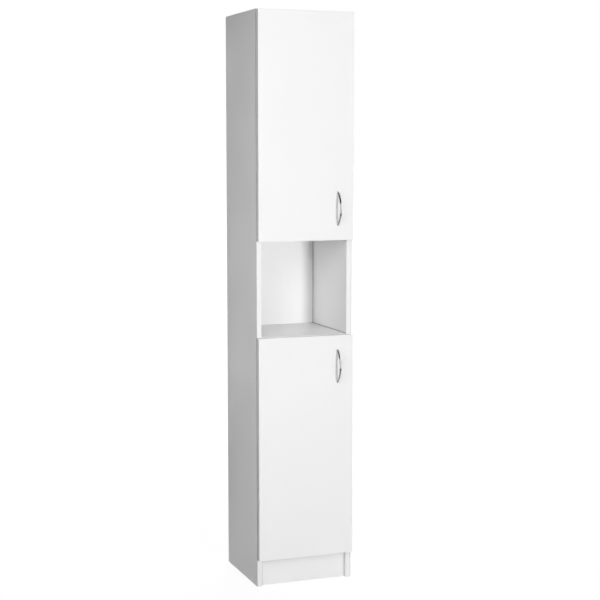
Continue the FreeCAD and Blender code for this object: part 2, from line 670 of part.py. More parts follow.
def handle(compartment):
    """A bow of round bar, a circular arc through both screws' axes, on two short feet."""
    middle = COMPARTMENTS[compartment]["handle"]
    radius = ("((dims.handle_spacing * dims.handle_spacing / 4 + dims.handle_rise * dims.handle_rise)"
              " / (2 * dims.handle_rise))")
    ring = doc.addObject("Part::Torus", f"{compartment}_ring")
    ring.setExpression("Radius1", radius)
    ring.setExpression("Radius2", "dims.bow_diameter / 2")
    ring.Placement = Placement(Vector(), AXES["+x"])
    place(ring, HANDLE_X, f"{DOOR_FRONT} - dims.handle_rise + {radius}", middle)
    span = f"(2 * {radius} + 2 * dims.bow_diameter)"
    behind = box(f"{compartment}_ring_behind_door", "2 * dims.bow_diameter", span, span,
                 f"{HANDLE_X} - dims.bow_diameter", DOOR_FRONT, f"{middle} - {span} / 2")
    bow = cut(f"{compartment}_bow", ring, [behind])
    feet, threads = [], []
    for sign in (-1, 1):
        height = f"{middle} + {sign} * dims.handle_spacing / 2"
        feet.append(rod(f"{compartment}_foot_{sign + 1}", "dims.foot_diameter",
                        "dims.foot_length", HANDLE_X, DOOR_FRONT, height, "-y"))
        threads.append(rod(f"{compartment}_foot_thread_{sign + 1}", "dims.handle_screw",
                           "dims.handle_thread + dims.fit", HANDLE_X, DOOR_FRONT, height, "-y"))
    solid = fuse(f"{compartment}_handle_solid", [bow] + feet)
    return node(f"{compartment}_handle", cut(f"{compartment}_handle_tapped", solid, threads))


def handle_screws(compartment):
    middle = COMPARTMENTS[compartment]["handle"]
    screws = []
    for sign in (-1, 1):
        z = f"{middle} + {sign} * dims.handle_spacing / 2"
        name = f"{compartment}_handle_screw_{sign + 1}"
        shank = rod(f"{name}_shank", "dims.handle_screw - 2 * dims.fit",
                    "dims.door_board + dims.handle_thread", HANDLE_X, DOOR_BACK, z, "-y")
        head = rod(f"{name}_head", "dims.handle_screw_head", "dims.handle_screw_head_thick",
                   HANDLE_X, DOOR_BACK, z, "+y")
        screws.append(fuse(name, [shank, head]))
    return group(f"{compartment}_handle_screws", screws)


def door_bumpers(compartment):
    bottom = COMPARTMENTS[compartment]["door"]
    heights = (f"{bottom} + dims.bumper_inset",
               f"{bottom} + dims.door_height - dims.bumper_inset")
    return group(f"{compartment}_door_bumpers", [
        rod(f"{compartment}_bumper_{number}", "dims.bumper_diameter",
            "dims.door_gap - dims.bumper_air", BUMPER_X, DOOR_BACK, height, "+y")
        for number, height in enumerate(heights)])


# ---------------------------------------------------------------- concealed hinges

DOOR_PIN = (f"(-{OUTER} + dims.door_pin_x)", "dims.door_pin_y")
ARM_PIN = (f"(-{OUTER} + dims.arm_pin_x)", "dims.arm_pin_y")
LINK_BEND = (f"(-{OUTER} + dims.bend_x)", "dims.bend_y")
ARM_ROOT = (f"(-{INNER} + (dims.arm_top + dims.arm_floor) / 2)", "(dims.arm_front + dims.arm_eye)")
CHEEK_IN = "(dims.link_width / 2 + dims.cheek_gap)"
CHEEK_OUT = f"({CHEEK_IN} + dims.arm_steel)"
CUP_PIN_SEAT = "(dims.cup_diameter / 2 - dims.cup_wall / 2)"
CUP_PIN_EDGE = f"({CUP_X} - {DOOR_PIN[0]} + dims.hinge_pin / 2)"
CUP_PIN_HALF = f"sqrt({CUP_PIN_SEAT} * {CUP_PIN_SEAT} - {CUP_PIN_EDGE} * {CUP_PIN_EDGE})"


def hinge_cup(name, z):
    """A steel cup in the door with a thin rim and two screwed ears."""
    shell = rod(f"{name}_shell", "dims.cup_diameter - 2 * dims.fit", "dims.cup_depth", CUP_X,
                DOOR_BACK, z, "-y")
    rim = rod(f"{name}_rim", "dims.cup_diameter + 2 * dims.rim_lap", "dims.cup_rim", CUP_X,
              DOOR_BACK, z, "+y")
    ears = box(f"{name}_ears", "dims.ear_width", "dims.cup_rim",
               "dims.ear_spacing + dims.ear_width", f"{EAR_X} - dims.ear_width / 2", DOOR_BACK,
               f"{z} - (dims.ear_spacing + dims.ear_width) / 2")
    solid = fuse(f"{name}_solid", [shell, rim, ears])
    hollow = rod(f"{name}_hollow", "dims.cup_diameter - 2 * dims.fit - 2 * dims.cup_wall",
                 "dims.cup_depth - dims.cup_wall + dims.cup_rim", CUP_X,
                 f"{DOOR_BACK} + dims.cup_rim", z, "-y")
    opened = cut(f"{name}_opened", solid, [hollow])
    holes = [rod(f"{name}_screw_hole_{sign + 1}", "dims.wood_screw + 2 * dims.fit",
                 "dims.cup_rim", EAR_X, DOOR_BACK, f"{z} + {sign} * dims.ear_spacing / 2", "+y")
             for sign in (-1, 1)]
    holes.append(rod(f"{name}_pin_hole", "dims.hinge_pin + 2 * dims.pin_seat",
                     f"2 * {CUP_PIN_HALF}", DOOR_PIN[0], DOOR_PIN[1], f"{z} - {CUP_PIN_HALF}",
                     "+z"))
    return node(name, cut(f"{name}_drilled", opened, holes))


def cup_pins(compartment):
    return group(f"{compartment}_hinge_cup_pins", [
        rod(f"{compartment}_{end}_cup_pin", "dims.hinge_pin",
            f"2 * ({CUP_PIN_HALF} - dims.pin_seat)", DOOR_PIN[0], DOOR_PIN[1],
            f"{z} - {CUP_PIN_HALF} + dims.pin_seat", "+z")
        for end, z in hinge_heights(compartment).items()])


def cup_screws(compartment):
    screws = []
    for end, height in hinge_heights(compartment).items():
        for sign in (-1, 1):
            screws.append(wood_screw(
                f"{compartment}_{end}_cup_screw_{sign + 1}", EAR_X,
                f"{DOOR_BACK} + dims.cup_rim", f"{height} + {sign} * dims.ear_spacing / 2",
                "-y", "dims.cup_rim"))
    return group(f"{compartment}_hinge_cup_screws", screws)


def hinge_link(name, z):
    """A bent link from the arm's pin to the door's pin."""
    low = f"{z} - dims.link_width / 2"
    pieces = [
        rod(f"{name}_door_eye", "dims.link_eye", "dims.link_width", *DOOR_PIN, low, "+z"),
        rod(f"{name}_arm_eye", "dims.link_eye", "dims.link_width", *ARM_PIN, low, "+z"),
        rod(f"{name}_bend", "dims.link_thick", "dims.link_width", *LINK_BEND, low, "+z"),
        bar(f"{name}_door_leg", DOOR_PIN, LINK_BEND, "dims.link_thick", "dims.link_width", low),
        bar(f"{name}_arm_leg", LINK_BEND, ARM_PIN, "dims.link_thick", "dims.link_width", low),
    ]
    holes = [rod(f"{name}_hole_{number}", "dims.hinge_pin + 2 * dims.hinge_play",
                 "dims.link_width", *pin, low, "+z")
             for number, pin in enumerate((DOOR_PIN, ARM_PIN))]
    return node(name, cut(f"{name}_bored", fuse(f"{name}_solid", pieces), holes))


def hinge_arm(name, z):
    """A channel of sheet steel: two cheeks with the arm pin's eyes, joined by a web."""
    pieces = []
    web_x = f"-{INNER} + dims.arm_top - dims.arm_steel"
    for sign in (-1, 1):
        low = f"{z} - {CHEEK_OUT}" if sign < 0 else f"{z} + {CHEEK_IN}"
        pieces += [
            box(f"{name}_cheek_{sign + 1}", "dims.arm_top - dims.arm_floor",
                "dims.arm_rear - dims.arm_front", "dims.arm_steel", f"-{INNER} + dims.arm_floor",
                "dims.arm_front", low),
            rod(f"{name}_eye_{sign + 1}", "dims.arm_eye", "dims.arm_steel", *ARM_PIN, low, "+z"),
            bar(f"{name}_neck_{sign + 1}", ARM_PIN, ARM_ROOT, "dims.arm_eye", "dims.arm_steel",
                low),
        ]
    pieces.append(box(f"{name}_web", "dims.arm_steel", "dims.arm_rear - dims.arm_front",
                      f"2 * {CHEEK_OUT}", web_x, "dims.arm_front", f"{z} - {CHEEK_OUT}"))
    holes = [rod(f"{name}_pin_hole", "dims.hinge_pin + 2 * dims.pin_seat", f"2 * {CHEEK_OUT}",
                 *ARM_PIN, f"{z} - {CHEEK_OUT}", "+z")]
    for number, y in enumerate(("dims.arm_screw_y", "dims.adjuster_y")):
        holes.append(rod(f"{name}_screw_hole_{number}", "dims.arm_screw + 2 * dims.fit",
                         "dims.arm_steel", web_x, y, z, "+x"))
    return node(name, cut(f"{name}_bored", fuse(f"{name}_solid", pieces), holes))


def mounting_plate(name, z):
    """A cross-shaped plate on the side panel, with a saddle that the arm is clamped to."""
    wings = box(f"{name}_wings", "dims.plate_thick", "dims.plate_width", "dims.plate_reach",
                f"-{INNER}", "dims.row_inset - dims.plate_width / 2",
                f"{z} - dims.plate_reach / 2")
    saddle = box(f"{name}_saddle", "dims.arm_top - dims.arm_steel",
                 "dims.saddle_rear - dims.saddle_front", f"2 * ({CHEEK_IN} - dims.fit)",
                 f"-{INNER}", "dims.saddle_front", f"{z} - {CHEEK_IN} + dims.fit")
    solid = fuse(f"{name}_solid", [wings, saddle])
    holes = [rod(f"{name}_screw_hole_{sign + 1}", "dims.euro_screw + 2 * dims.fit",
                 "dims.plate_thick", f"-{INNER}", "dims.row_inset",
                 f"{z} + {sign} * dims.plate_screws / 2", "+x")
             for sign in (-1, 1)]
    holes.append(rod(f"{name}_arm_screw_hole", "dims.arm_screw",
                     "dims.arm_screw_length", f"-{INNER} + dims.arm_top - dims.arm_steel",
                     "dims.arm_screw_y", z, "-x"))
    return node(name, cut(f"{name}_drilled", solid, holes))


def every_hinge():
    """Compartment, end and height of each hinge."""
    return [(compartment, end, z) for compartment in COMPARTMENTS
            for end, z in hinge_heights(compartment).items()]


def arm_pins():
    return group("hinge_arm_pins", [
        rod(f"{compartment}_{end}_arm_pin", "dims.hinge_pin",
            f"2 * ({CHEEK_OUT} + dims.pin_seat)", *ARM_PIN,
            f"{z} - {CHEEK_OUT} - dims.pin_seat", "+z")
        for compartment, end, z in every_hinge()])


def plate_screws():
    screws = []
    for compartment, end, z in every_hinge():
        for sign in (-1, 1):
            name = f"{compartment}_{end}_plate_screw_{sign + 1}"
            height = f"{z} + {sign} * dims.plate_screws / 2"
            face = f"-{INNER} + dims.plate_thick"
            shank = rod(f"{name}_shank", "dims.euro_screw - 2 * dims.fit",
                        "dims.plate_thick + dims.euro_screw_depth - dims.fit", face,
                        "dims.row_inset", height, "-x")
            head = rod(f"{name}_head", "dims.euro_head", "dims.euro_head_thick", face,
                       "dims.row_inset", height, "+x")
            screws.append(fuse(name, [shank, head]))
    return group("hinge_plate_screws", screws)


def arm_screws():
    screws = []
    for compartment, end, z in every_hinge():
        name = f"{compartment}_{end}_arm_screw"
        face = f"-{INNER} + dims.arm_top"
        shank = rod(f"{name}_shank", "dims.arm_screw - 2 * dims.fit",
                    "dims.arm_screw_length", face, "dims.arm_screw_y", z, "-x")
        head = rod(f"{name}_head", "dims.arm_screw_head", "dims.arm_screw_head_thick", face,
                   "dims.arm_screw_y", z, "+x")
        screws.append(fuse(name, [shank, head]))
    return group("hinge_arm_screws", screws)


def adjusting_screws():
    return group("hinge_adjusting_screws", [
        rod(f"{compartment}_{end}_adjuster", "dims.arm_screw", "dims.arm_screw_length",
            f"-{INNER} + dims.arm_top + dims.adjuster_proud", "dims.adjuster_y", z, "-x")
        for compartment, end, z in every_hinge()])


# ---------------------------------------------------------------- the cabinet

for label, side in SIDES.items():
    side_panel(label, side)
for name, underside, cam_face in PANELS:
    cross_panel(name, underside, cam_face)
plinth_board()
back_panel()
for compartment in COMPARTMENTS:
    for number in SHELF_NUMBERS:
        shelf(compartment, number)

cam_locks()
cam_bolts()
cover_caps()
dowels()
back_nails()
shelf_pins()
floor_glides()
for label, side in SIDES.items():
    wall_bracket(label, side)
bracket_screws()

for compartment in COMPARTMENTS:
    door(compartment)
    handle(compartment)
    handle_screws(compartment)
    door_bumpers(compartment)
    cup_pins(compartment)
    cup_screws(compartment)
for compartment, end, z in every_hinge():
    hinge_cup(f"{compartment}_door_{end}_hinge_cup", z)
    hinge_link(f"{compartment}_door_{end}_hinge_link", z)
    hinge_arm(f"{compartment}_door_{end}_hinge_arm", z)
    mounting_plate(f"{compartment}_door_{end}_hinge_plate", z)
arm_pins()
plate_screws()
arm_screws()
adjusting_screws()

# ---------------------------------------------------------------- check and write

doc.recompute()
for item in doc.Objects:
    if "Invalid" in item.State or "Error" in item.State:
        raise RuntimeError(f"{item.Name} failed: {item.State}")
for item in nodes:
    if item.Shape.isNull() or not item.Shape.isValid() or not item.Shape.Solids:
        raise RuntimeError(f"{item.Label} has no valid solid")
    item.Shape.exportStep(f"parts/{item.Label}.step")
print(f"{len(nodes)} pieces written")
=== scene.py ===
"""Looks of the tall bathroom cabinet: finishes, small fittings, studio light and camera.

Units are metres in the part's own frame: +X right, +Y to the rear, +Z up, origin on the floor.
"""

import json
import math

import bmesh
import bpy
from mathutils import Matrix, Vector


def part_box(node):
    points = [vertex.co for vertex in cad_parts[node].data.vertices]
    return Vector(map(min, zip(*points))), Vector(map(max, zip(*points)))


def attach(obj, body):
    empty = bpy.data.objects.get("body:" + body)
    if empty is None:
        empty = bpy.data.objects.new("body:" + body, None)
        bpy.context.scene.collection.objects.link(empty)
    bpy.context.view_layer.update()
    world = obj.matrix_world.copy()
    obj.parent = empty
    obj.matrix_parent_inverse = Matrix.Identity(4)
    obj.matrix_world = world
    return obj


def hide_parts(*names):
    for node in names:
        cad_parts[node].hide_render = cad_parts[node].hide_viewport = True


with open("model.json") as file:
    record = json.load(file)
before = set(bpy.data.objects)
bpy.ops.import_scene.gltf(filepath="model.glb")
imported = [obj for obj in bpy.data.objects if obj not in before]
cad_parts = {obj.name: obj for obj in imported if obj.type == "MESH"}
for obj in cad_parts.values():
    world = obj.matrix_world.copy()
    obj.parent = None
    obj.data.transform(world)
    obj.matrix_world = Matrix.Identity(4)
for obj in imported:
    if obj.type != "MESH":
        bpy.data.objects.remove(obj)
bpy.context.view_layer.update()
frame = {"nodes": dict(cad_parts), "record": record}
NODES = frame["nodes"]
BODY_OF = {node: body for body, nodes in frame["record"]["behaviour"]["bodies"].items()
           for node in nodes}

MM = 0.001
COMPARTMENTS = ("upper", "lower")
SIDES = ("left", "right")
CROSS_PANELS = ("bottom_panel", "niche_floor_panel", "niche_ceiling_panel", "top_panel")
SIDE_PANELS = [f"{side}_side_panel" for side in SIDES]
SHELVES = [f"{compartment}_shelf_{number}" for compartment in COMPARTMENTS for number in (1, 2)]
BRACKETS = [f"{side}_wall_bracket" for side in SIDES]
HINGE_PARTS = [f"{compartment}_door_{end}_hinge_{part}" for compartment in COMPARTMENTS
               for end in ("high", "low") for part in ("cup", "link", "arm", "plate")]


# ---------------------------------------------------------------- shader building


class Finish:
    """A material under construction, with short calls for the nodes that it needs."""

    def __init__(self, name, colour, roughness, metallic=0.0, **constants):
        self.material = bpy.data.materials.new(name)
        self.material.use_nodes = True
        self.tree = self.material.node_tree
        self.shader = self.tree.nodes["Principled BSDF"]
        self.set("Base Color", (*colour, 1.0))
        self.set("Roughness", roughness)
        self.set("Metallic", metallic)
        for socket, value in constants.items():
            self.set(socket.replace("_", " "), value)
        self.coordinates = self.add("ShaderNodeTexCoord").outputs["Object"]

    def set(self, socket, value):
        self.shader.inputs[socket].default_value = value

    def add(self, kind, **inputs):
        node = self.tree.nodes.new(kind)
        for socket, value in inputs.items():
            self.feed(node.inputs[socket.replace("_", " ")], value)
        return node

    def feed(self, socket, value):
        if isinstance(value, bpy.types.NodeSocket):
            self.tree.links.new(value, socket)
        else:
            socket.default_value = value

    def stretch(self, x, y, z):
        """The object's coordinates, scaled along each axis."""
        mapping = self.add("ShaderNodeMapping", Vector=self.coordinates)
        mapping.inputs["Scale"].default_value = (x, y, z)
        return mapping.outputs["Vector"]

    def noise(self, scale, detail=3.0, roughness=0.5, vector=None):
        node = self.add("ShaderNodeTexNoise", Vector=vector or self.coordinates, Scale=scale,
                        Detail=detail, Roughness=roughness)
        return node.outputs["Fac"]

    def distance(self, axis, place):
        """Distance of the shaded point from a plane across one axis."""
        split = self.add("ShaderNodeSeparateXYZ", Vector=self.coordinates)
        offset = self.add("ShaderNodeMath", Value=split.outputs[axis.upper()])
        offset.operation = "SUBTRACT"
        offset.inputs[1].default_value = place
        result = self.add("ShaderNodeMath", Value=offset.outputs["Value"])
        result.operation = "ABSOLUTE"
        return result.outputs["Value"]

    def spread(self, value, low, high, start=0.3, end=0.7):
        """A texture value spread from low to high."""
        node = self.add("ShaderNodeMapRange", Value=value)
        node.interpolation_type = "SMOOTHSTEP"
        for socket, number in (("From Min", start), ("From Max", end),
                               ("To Min", low), ("To Max", high)):
            node.inputs[socket].default_value = number
        return node.outputs["Result"]

    def blend(self, factor, first, second):
        """A colour between two colours or colour sockets."""
        node = self.add("ShaderNodeMix")
        node.data_type = "RGBA"
        colours = [socket for socket in node.inputs if socket.type == "RGBA"]
        self.feed(node.inputs[0], factor)
        for socket, colour in zip(colours, (first, second)):
            self.feed(socket, (*colour, 1.0) if isinstance(colour, tuple) else colour)
        return next(socket for socket in node.outputs if socket.type == "RGBA")

    def shade_at_joints(self, body, joints):
        """A colour that darkens to a tone near given planes, as painted shade where boards meet;
        an entry is (axis, place, width, tone).
        """
        for axis, place, width, tone in joints:
            line = self.spread(self.distance(axis, place), 1.0, 0.0, start=0.0, end=width)
            body = self.blend(line, body, tone)
        return body

    def colour(self, socket):
        self.tree.links.new(socket, self.shader.inputs["Base Color"])

    def roughness(self, socket):
        self.tree.links.new(socket, self.shader.inputs["Roughness"])

    def bump(self, height, distance, strength=1.0):
        """Raise the surface by a texture; calls stack on each other."""
        node = self.add("ShaderNodeBump", Height=height, Distance=distance, Strength=strength)
        before = self.shader.inputs["Normal"].links
        if before:
            self.tree.links.new(before[0].from_socket, node.inputs["Normal"])
        self.tree.links.new(node.outputs["Normal"], self.shader.inputs["Normal"])


# Texture scales are in features per metre, and bump distances are the relief's height. A wave
# texture of scale 1 has about WAVES_PER_UNIT bands in a metre.
CLOUD_SCALE = 2.5
GLOSS_SCALE = 4.0
GRAIN_SCALE = 900.0
BAND_LINES_ALONG = 6.0
BAND_LINES_ACROSS = 700.0
BAND_SHEEN_SCALE = 60.0
FLAKE_SCALE = 420.0
FIBRE_SCALE = 260.0
STAIN_SCALE = 6.0
WEAR_SCALE = 140.0
TARNISH_SCALE = 25.0
WOOD_LINES_ALONG = 30.0
WOOD_LINES_ACROSS = 900.0
SKIN_SCALE = 1500.0
SKIN_SHEEN_SCALE = 80.0
SCREEN_PITCH = 1.6 * MM
WAVES_PER_UNIT = 3.3


def grey(level):
    """A neutral colour."""
    return (level, level, level)


# Body and cloud colours of the white finishes, then their ranges of roughness.
MELAMINE = (grey(0.925), grey(0.915))
BACK_FOIL = (grey(0.94), grey(0.925))
DOOR_FOIL = (grey(0.855), grey(0.845))
EDGING = (grey(0.86), grey(0.84))
SATIN = (0.38, 0.48)
GLOSS = (0.285, 0.33)
MATT = (0.5, 0.6)
EDGING_SHEEN = (0.34, 0.46)


def laminate(name, colours, roughness, grain, joints=()):
    """White melamine or foil: almost plain, with a fine pressed grain and faint cloudiness.

    joints are the planes where another board meets the face, as Finish.shade_at_joints takes them;
    near them the colour darkens as painted shade.
    """
    colour, shade = colours
    low, high = roughness
    finish = Finish(name, colour, high, Specular_IOR_Level=0.4)
    cloud = finish.noise(CLOUD_SCALE, detail=2.0)
    body = finish.blend(finish.spread(cloud, 0.0, 1.0), colour, shade)
    finish.colour(finish.shade_at_joints(body, joints))
    finish.roughness(finish.spread(finish.noise(GLOSS_SCALE, detail=1.0), low, high))
    finish.bump(finish.noise(GRAIN_SCALE, detail=2.0), grain)
    return finish.material


def edge_band(name, length_axis, joints=()):
    """Plastic edging with faint lines along its length, and a dark line at the planes in joints: a
    glue line drawn dark as painted shade of the gap between door and carcass.
    """
    colour, shade = EDGING
    finish = Finish(name, colour, 0.4)
    scales = [BAND_LINES_ALONG if axis == length_axis else BAND_LINES_ACROSS for axis in "xyz"]
    lines = finish.noise(1.0, detail=2.0, vector=finish.stretch(*scales))
    body = finish.blend(finish.spread(lines, 0.0, 1.0), colour, shade)
    finish.colour(finish.shade_at_joints(body, joints))
    finish.roughness(finish.spread(finish.noise(BAND_SHEEN_SCALE), *EDGING_SHEEN))
    finish.bump(lines, 0.02 * MM)
    return finish.material


def chipboard():
    """The raw core of the boards: pressed flakes, seen in bores and on unbanded edges."""
    pale, dark, dust = (0.55, 0.41, 0.26), (0.33, 0.22, 0.12), (0.66, 0.53, 0.36)
    finish = Finish("raw_chipboard", (0.46, 0.33, 0.20), 0.85)
    flakes = finish.add("ShaderNodeTexVoronoi", Vector=finish.coordinates,
                        Scale=FLAKE_SCALE)
    fine = finish.noise(GRAIN_SCALE, detail=4.0)
    tone = finish.spread(flakes.outputs["Color"], 0.0, 1.0, start=0.0, end=1.0)
    body = finish.blend(tone, pale, dark)
    finish.colour(finish.blend(finish.spread(fine, 0.0, 0.55), body, dust))
    finish.bump(flakes.outputs["Distance"], 0.25 * MM)
    finish.bump(fine, 0.12 * MM)
    return finish.material


def hardboard():
    """The brown rear of the back panel: felted fibres with a pressed screen pattern."""
    pale, dark, stain = (0.36, 0.23, 0.13), (0.22, 0.13, 0.07), (0.42, 0.29, 0.17)
    finish = Finish("hardboard_rear", (0.30, 0.18, 0.10), 0.75)
    fibres = finish.noise(FIBRE_SCALE, detail=6.0, roughness=0.7)
    cloud = finish.noise(STAIN_SCALE, detail=4.0)
    body = finish.blend(finish.spread(fibres, 0.0, 1.0), pale, dark)
    finish.colour(finish.blend(finish.spread(cloud, 0.0, 0.45), body, stain))
    for axis in ("X", "Z"):
        screen = finish.add("ShaderNodeTexWave", Vector=finish.coordinates,
                            Scale=1.0 / SCREEN_PITCH / WAVES_PER_UNIT)
        screen.bands_direction = axis
        finish.bump(screen.outputs["Fac"], 0.08 * MM)
    finish.bump(fibres, 0.1 * MM)
    return finish.material


def metal(name, colour, rough_low, rough_high, brush=None):
    """Plated or cast metal; brush stretches its fine lines along one axis."""
    finish = Finish(name, colour, rough_high, metallic=1.0)
    vector = finish.stretch(*brush) if brush else None
    wear = finish.noise(1.0 if brush else WEAR_SCALE, detail=4.0, vector=vector)
    finish.roughness(finish.spread(wear, rough_low, rough_high))
    darker = tuple(0.9 * channel for channel in colour)
    tarnish = finish.spread(finish.noise(TARNISH_SCALE), 0.0, 1.0)
    finish.colour(finish.blend(tarnish, colour, darker))
    if brush:
        finish.bump(wear, 0.01 * MM)
    return finish.material


def beech():
    """Dowel wood with its grain along X."""
    pale, dark = (0.70, 0.52, 0.33), (0.52, 0.36, 0.21)
    finish = Finish("beech_wood", (0.66, 0.48, 0.30), 0.6)
    scales = (WOOD_LINES_ALONG, WOOD_LINES_ACROSS, WOOD_LINES_ACROSS)
    grain = finish.noise(1.0, detail=5.0, vector=finish.stretch(*scales))
    finish.colour(finish.blend(finish.spread(grain, 0.0, 1.0), pale, dark))
    finish.bump(grain, 0.05 * MM)
    return finish.material


def moulded(name, colour, roughness, **constants):
    """Moulded plastic with a faint eroded texture."""
    finish = Finish(name, colour, roughness, **constants)
    skin = finish.noise(SKIN_SCALE, detail=2.0)
    sheen = finish.noise(SKIN_SHEEN_SCALE)
    finish.roughness(finish.spread(sheen, roughness - 0.05, roughness + 0.07))
    darker = tuple(0.95 * channel for channel in colour)
    finish.colour(finish.blend(finish.spread(skin, 0.0, 1.0), colour, darker))
    finish.bump(skin, 0.015 * MM)
    return finish.material


# Widths over which the painted shade lines and the softer painted shades where boards meet fade
# out.
JOINT_SHADE_LINE = 3.0 * MM
BACK_SHADE_LINE = 1.6 * MM
GLUE_AND_GAP_LINE = 2.2 * MM
DOOR_GAP_SHADE_LINE = 2.5 * MM
RECESS_SHADE = 7.0 * MM
OVERHANG_SHADE = 12.0 * MM
JOINT_SHADE_TONE = grey(0.22)
SHADE_TONE = grey(0.55)

OUTSIDE_X = (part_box("left_side_panel")[0][0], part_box("right_side_panel")[1][0])
INSIDE_X = [corner[0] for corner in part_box("niche_floor_panel")]
CROSS_Z = [corner[2] for panel in CROSS_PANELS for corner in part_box(panel)]
PLINTH_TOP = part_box("plinth_board")[1][2]
DOOR_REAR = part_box("upper_door")[1][1]


def shade_lines_at(axis, places, width, tone):
    """Painted shade lines at several places along one axis, as Finish.shade_at_joints takes them.
    """
    return [(axis, place, width, tone) for place in places]


# Painted shade where the cross panels meet the side panels: dark lines standing partly for the
# dark joints and partly for the shade in those corners.
END_JOINT_SHADE = shade_lines_at("x", INSIDE_X, JOINT_SHADE_LINE, JOINT_SHADE_TONE)
INNER_JOINT_SHADE = shade_lines_at("z", CROSS_Z, JOINT_SHADE_LINE, JOINT_SHADE_TONE)
# Painted shade on the back panel: dark lines at its corners with the side panels, and softer shade
# along the niche's floor and ceiling.
BACK_JOINT_SHADE = END_JOINT_SHADE + shade_lines_at("z", CROSS_Z, BACK_SHADE_LINE, SHADE_TONE)
# A glue line at the outer edge of the side panels' front edging, drawn dark as painted shade of
# the gap behind the doors.
GLUE_AND_GAP_SHADE = shade_lines_at("x", OUTSIDE_X, GLUE_AND_GAP_LINE, JOINT_SHADE_TONE)
# Painted shade along the rear edge of the doors' side edging, for the dark gap between door and
# carcass.
DOOR_GAP_SHADE = shade_lines_at("y", [DOOR_REAR], DOOR_GAP_SHADE_LINE, JOINT_SHADE_TONE)
# Painted shade on the plinth: soft shade at its ends in the recess, and along its top under the
# bottom panel's overhang.
PLINTH_SHADE = (shade_lines_at("x", INSIDE_X, RECESS_SHADE, SHADE_TONE)
                 + shade_lines_at("z", [PLINTH_TOP], OVERHANG_SHADE, SHADE_TONE))

# INNER_BOARD, CROSS_BOARD, BACK_WHITE, SIDE_BAND, DOOR_BAND and PLINTH carry the painted shade
# lines above.
BOARD = laminate("board_melamine", MELAMINE, SATIN, 0.018 * MM)
INNER_BOARD = laminate("side_panel_inside", MELAMINE, SATIN, 0.018 * MM, joints=INNER_JOINT_SHADE)
CROSS_BOARD = laminate("cross_board_melamine", MELAMINE, GLOSS, 0.012 * MM, joints=END_JOINT_SHADE)
DOOR = laminate("door_foil", DOOR_FOIL, GLOSS, 0.006 * MM)
BAND = {axis: edge_band(f"edge_band_{axis}", axis) for axis in "xyz"}
SIDE_BAND = edge_band("side_edge_band", "z", joints=GLUE_AND_GAP_SHADE)
DOOR_BAND = edge_band("door_edge_band", "z", joints=DOOR_GAP_SHADE)
PLINTH = laminate("plinth_foil", DOOR_FOIL, GLOSS, 0.006 * MM, joints=PLINTH_SHADE)
CHIPBOARD = chipboard()
HARDBOARD = hardboard()
BACK_WHITE = laminate("back_panel_white", BACK_FOIL, MATT, 0.03 * MM, joints=BACK_JOINT_SHADE)
CHROME = metal("chrome", (0.58, 0.585, 0.59), 0.03, 0.06)
NICKEL = metal("nickel_plate", (0.66, 0.65, 0.62), 0.29, 0.38, brush=(900.0, 900.0, 30.0))
ZINC = metal("cast_zinc", (0.55, 0.56, 0.58), 0.42, 0.58)
BEECH = beech()
CAP_PLASTIC = moulded("cap_plastic", (0.84, 0.84, 0.83), 0.4)
GLIDE_PLASTIC = moulded("glide_plastic", (0.42, 0.42, 0.41), 0.5)
BUMPER_RUBBER = moulded("bumper_rubber", (0.78, 0.79, 0.78), 0.35, Transmission_Weight=0.6,
                        IOR=1.45)


# ---------------------------------------------------------------- mesh building

SHARP_ANGLE = math.radians(32.0)
FLAT_ANGLE = math.radians(0.5)
CORNER_ANGLE = math.radians(40.0)
WELD = 0.0005 * MM
FACE_TOLERANCE = 0.02 * MM
SORT_DIGITS = 5
RING = 40


def piece(name, bm, materials, node):
    """Turn a bmesh into a visible piece that stands for a CAD piece."""
    for face in bm.faces:
        face.smooth = True
    for edge in bm.edges:
        edge.smooth = len(edge.link_faces) == 2 and edge.calc_face_angle(math.pi) < SHARP_ANGLE
    mesh = bpy.data.meshes.new(name)
    bm.to_mesh(mesh)
    bm.free()
    for material in materials:
        mesh.materials.append(material)
    item = bpy.data.objects.new(name, mesh)
    bpy.context.collection.objects.link(item)
    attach(item, BODY_OF[node])
    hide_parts(node)
    return item


def welded(node):
    """A CAD piece's mesh with its faces welded along their shared edges."""
    bm = bmesh.new()
    bm.from_mesh(NODES[node].data)
    bmesh.ops.remove_doubles(bm, verts=bm.verts, dist=WELD)
    bmesh.ops.recalc_face_normals(bm, faces=bm.faces)
    return bm


def solids(node):
    """The vertex places of each separate solid of a CAD piece, in a steady order."""
    bm = welded(node)
    found, seen = [], set()
    for start in bm.verts:
        if start in seen:
            continue
        seen.add(start)
        points, waiting = [], [start]
        while waiting:
            vertex = waiting.pop()
            points.append(vertex.co.copy())
            for edge in vertex.link_edges:
                other = edge.other_vert(vertex)
                if other not in seen:
                    seen.add(other)
                    waiting.append(other)
        found.append(points)
    bm.free()
    return sorted(found, key=lambda points: tuple(
        round(value, SORT_DIGITS) for value in corners(points)[0]))


def corners(points):
    """Lowest and highest corner of a set of points."""
    return Vector(map(min, zip(*points))), Vector(map(max, zip(*points)))


def soften(node, width, edges=None, segments=2):
    """A copy of a CAD piece with a small round on its sharp edges, in place of the CAD piece."""
    bm = welded(node)
    bmesh.ops.dissolve_limit(bm, angle_limit=FLAT_ANGLE, verts=bm.verts, edges=bm.edges,
                             delimit={"MATERIAL"})
    low, high = (Vector(corner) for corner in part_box(node))
    chosen = [edge for edge in bm.edges
              if len(edge.link_faces) == 2 and edge.calc_face_angle(0.0) > CORNER_ANGLE
              and (edges is None or edges(edge, low, high))]
    bmesh.ops.bevel(bm, geom=chosen, offset=width, offset_type="OFFSET", segments=segments,
                    profile=0.5, affect="EDGES", clamp_overlap=True, material=-1)
    return piece(f"{node}_finish", bm, list(NODES[node].data.materials), node)


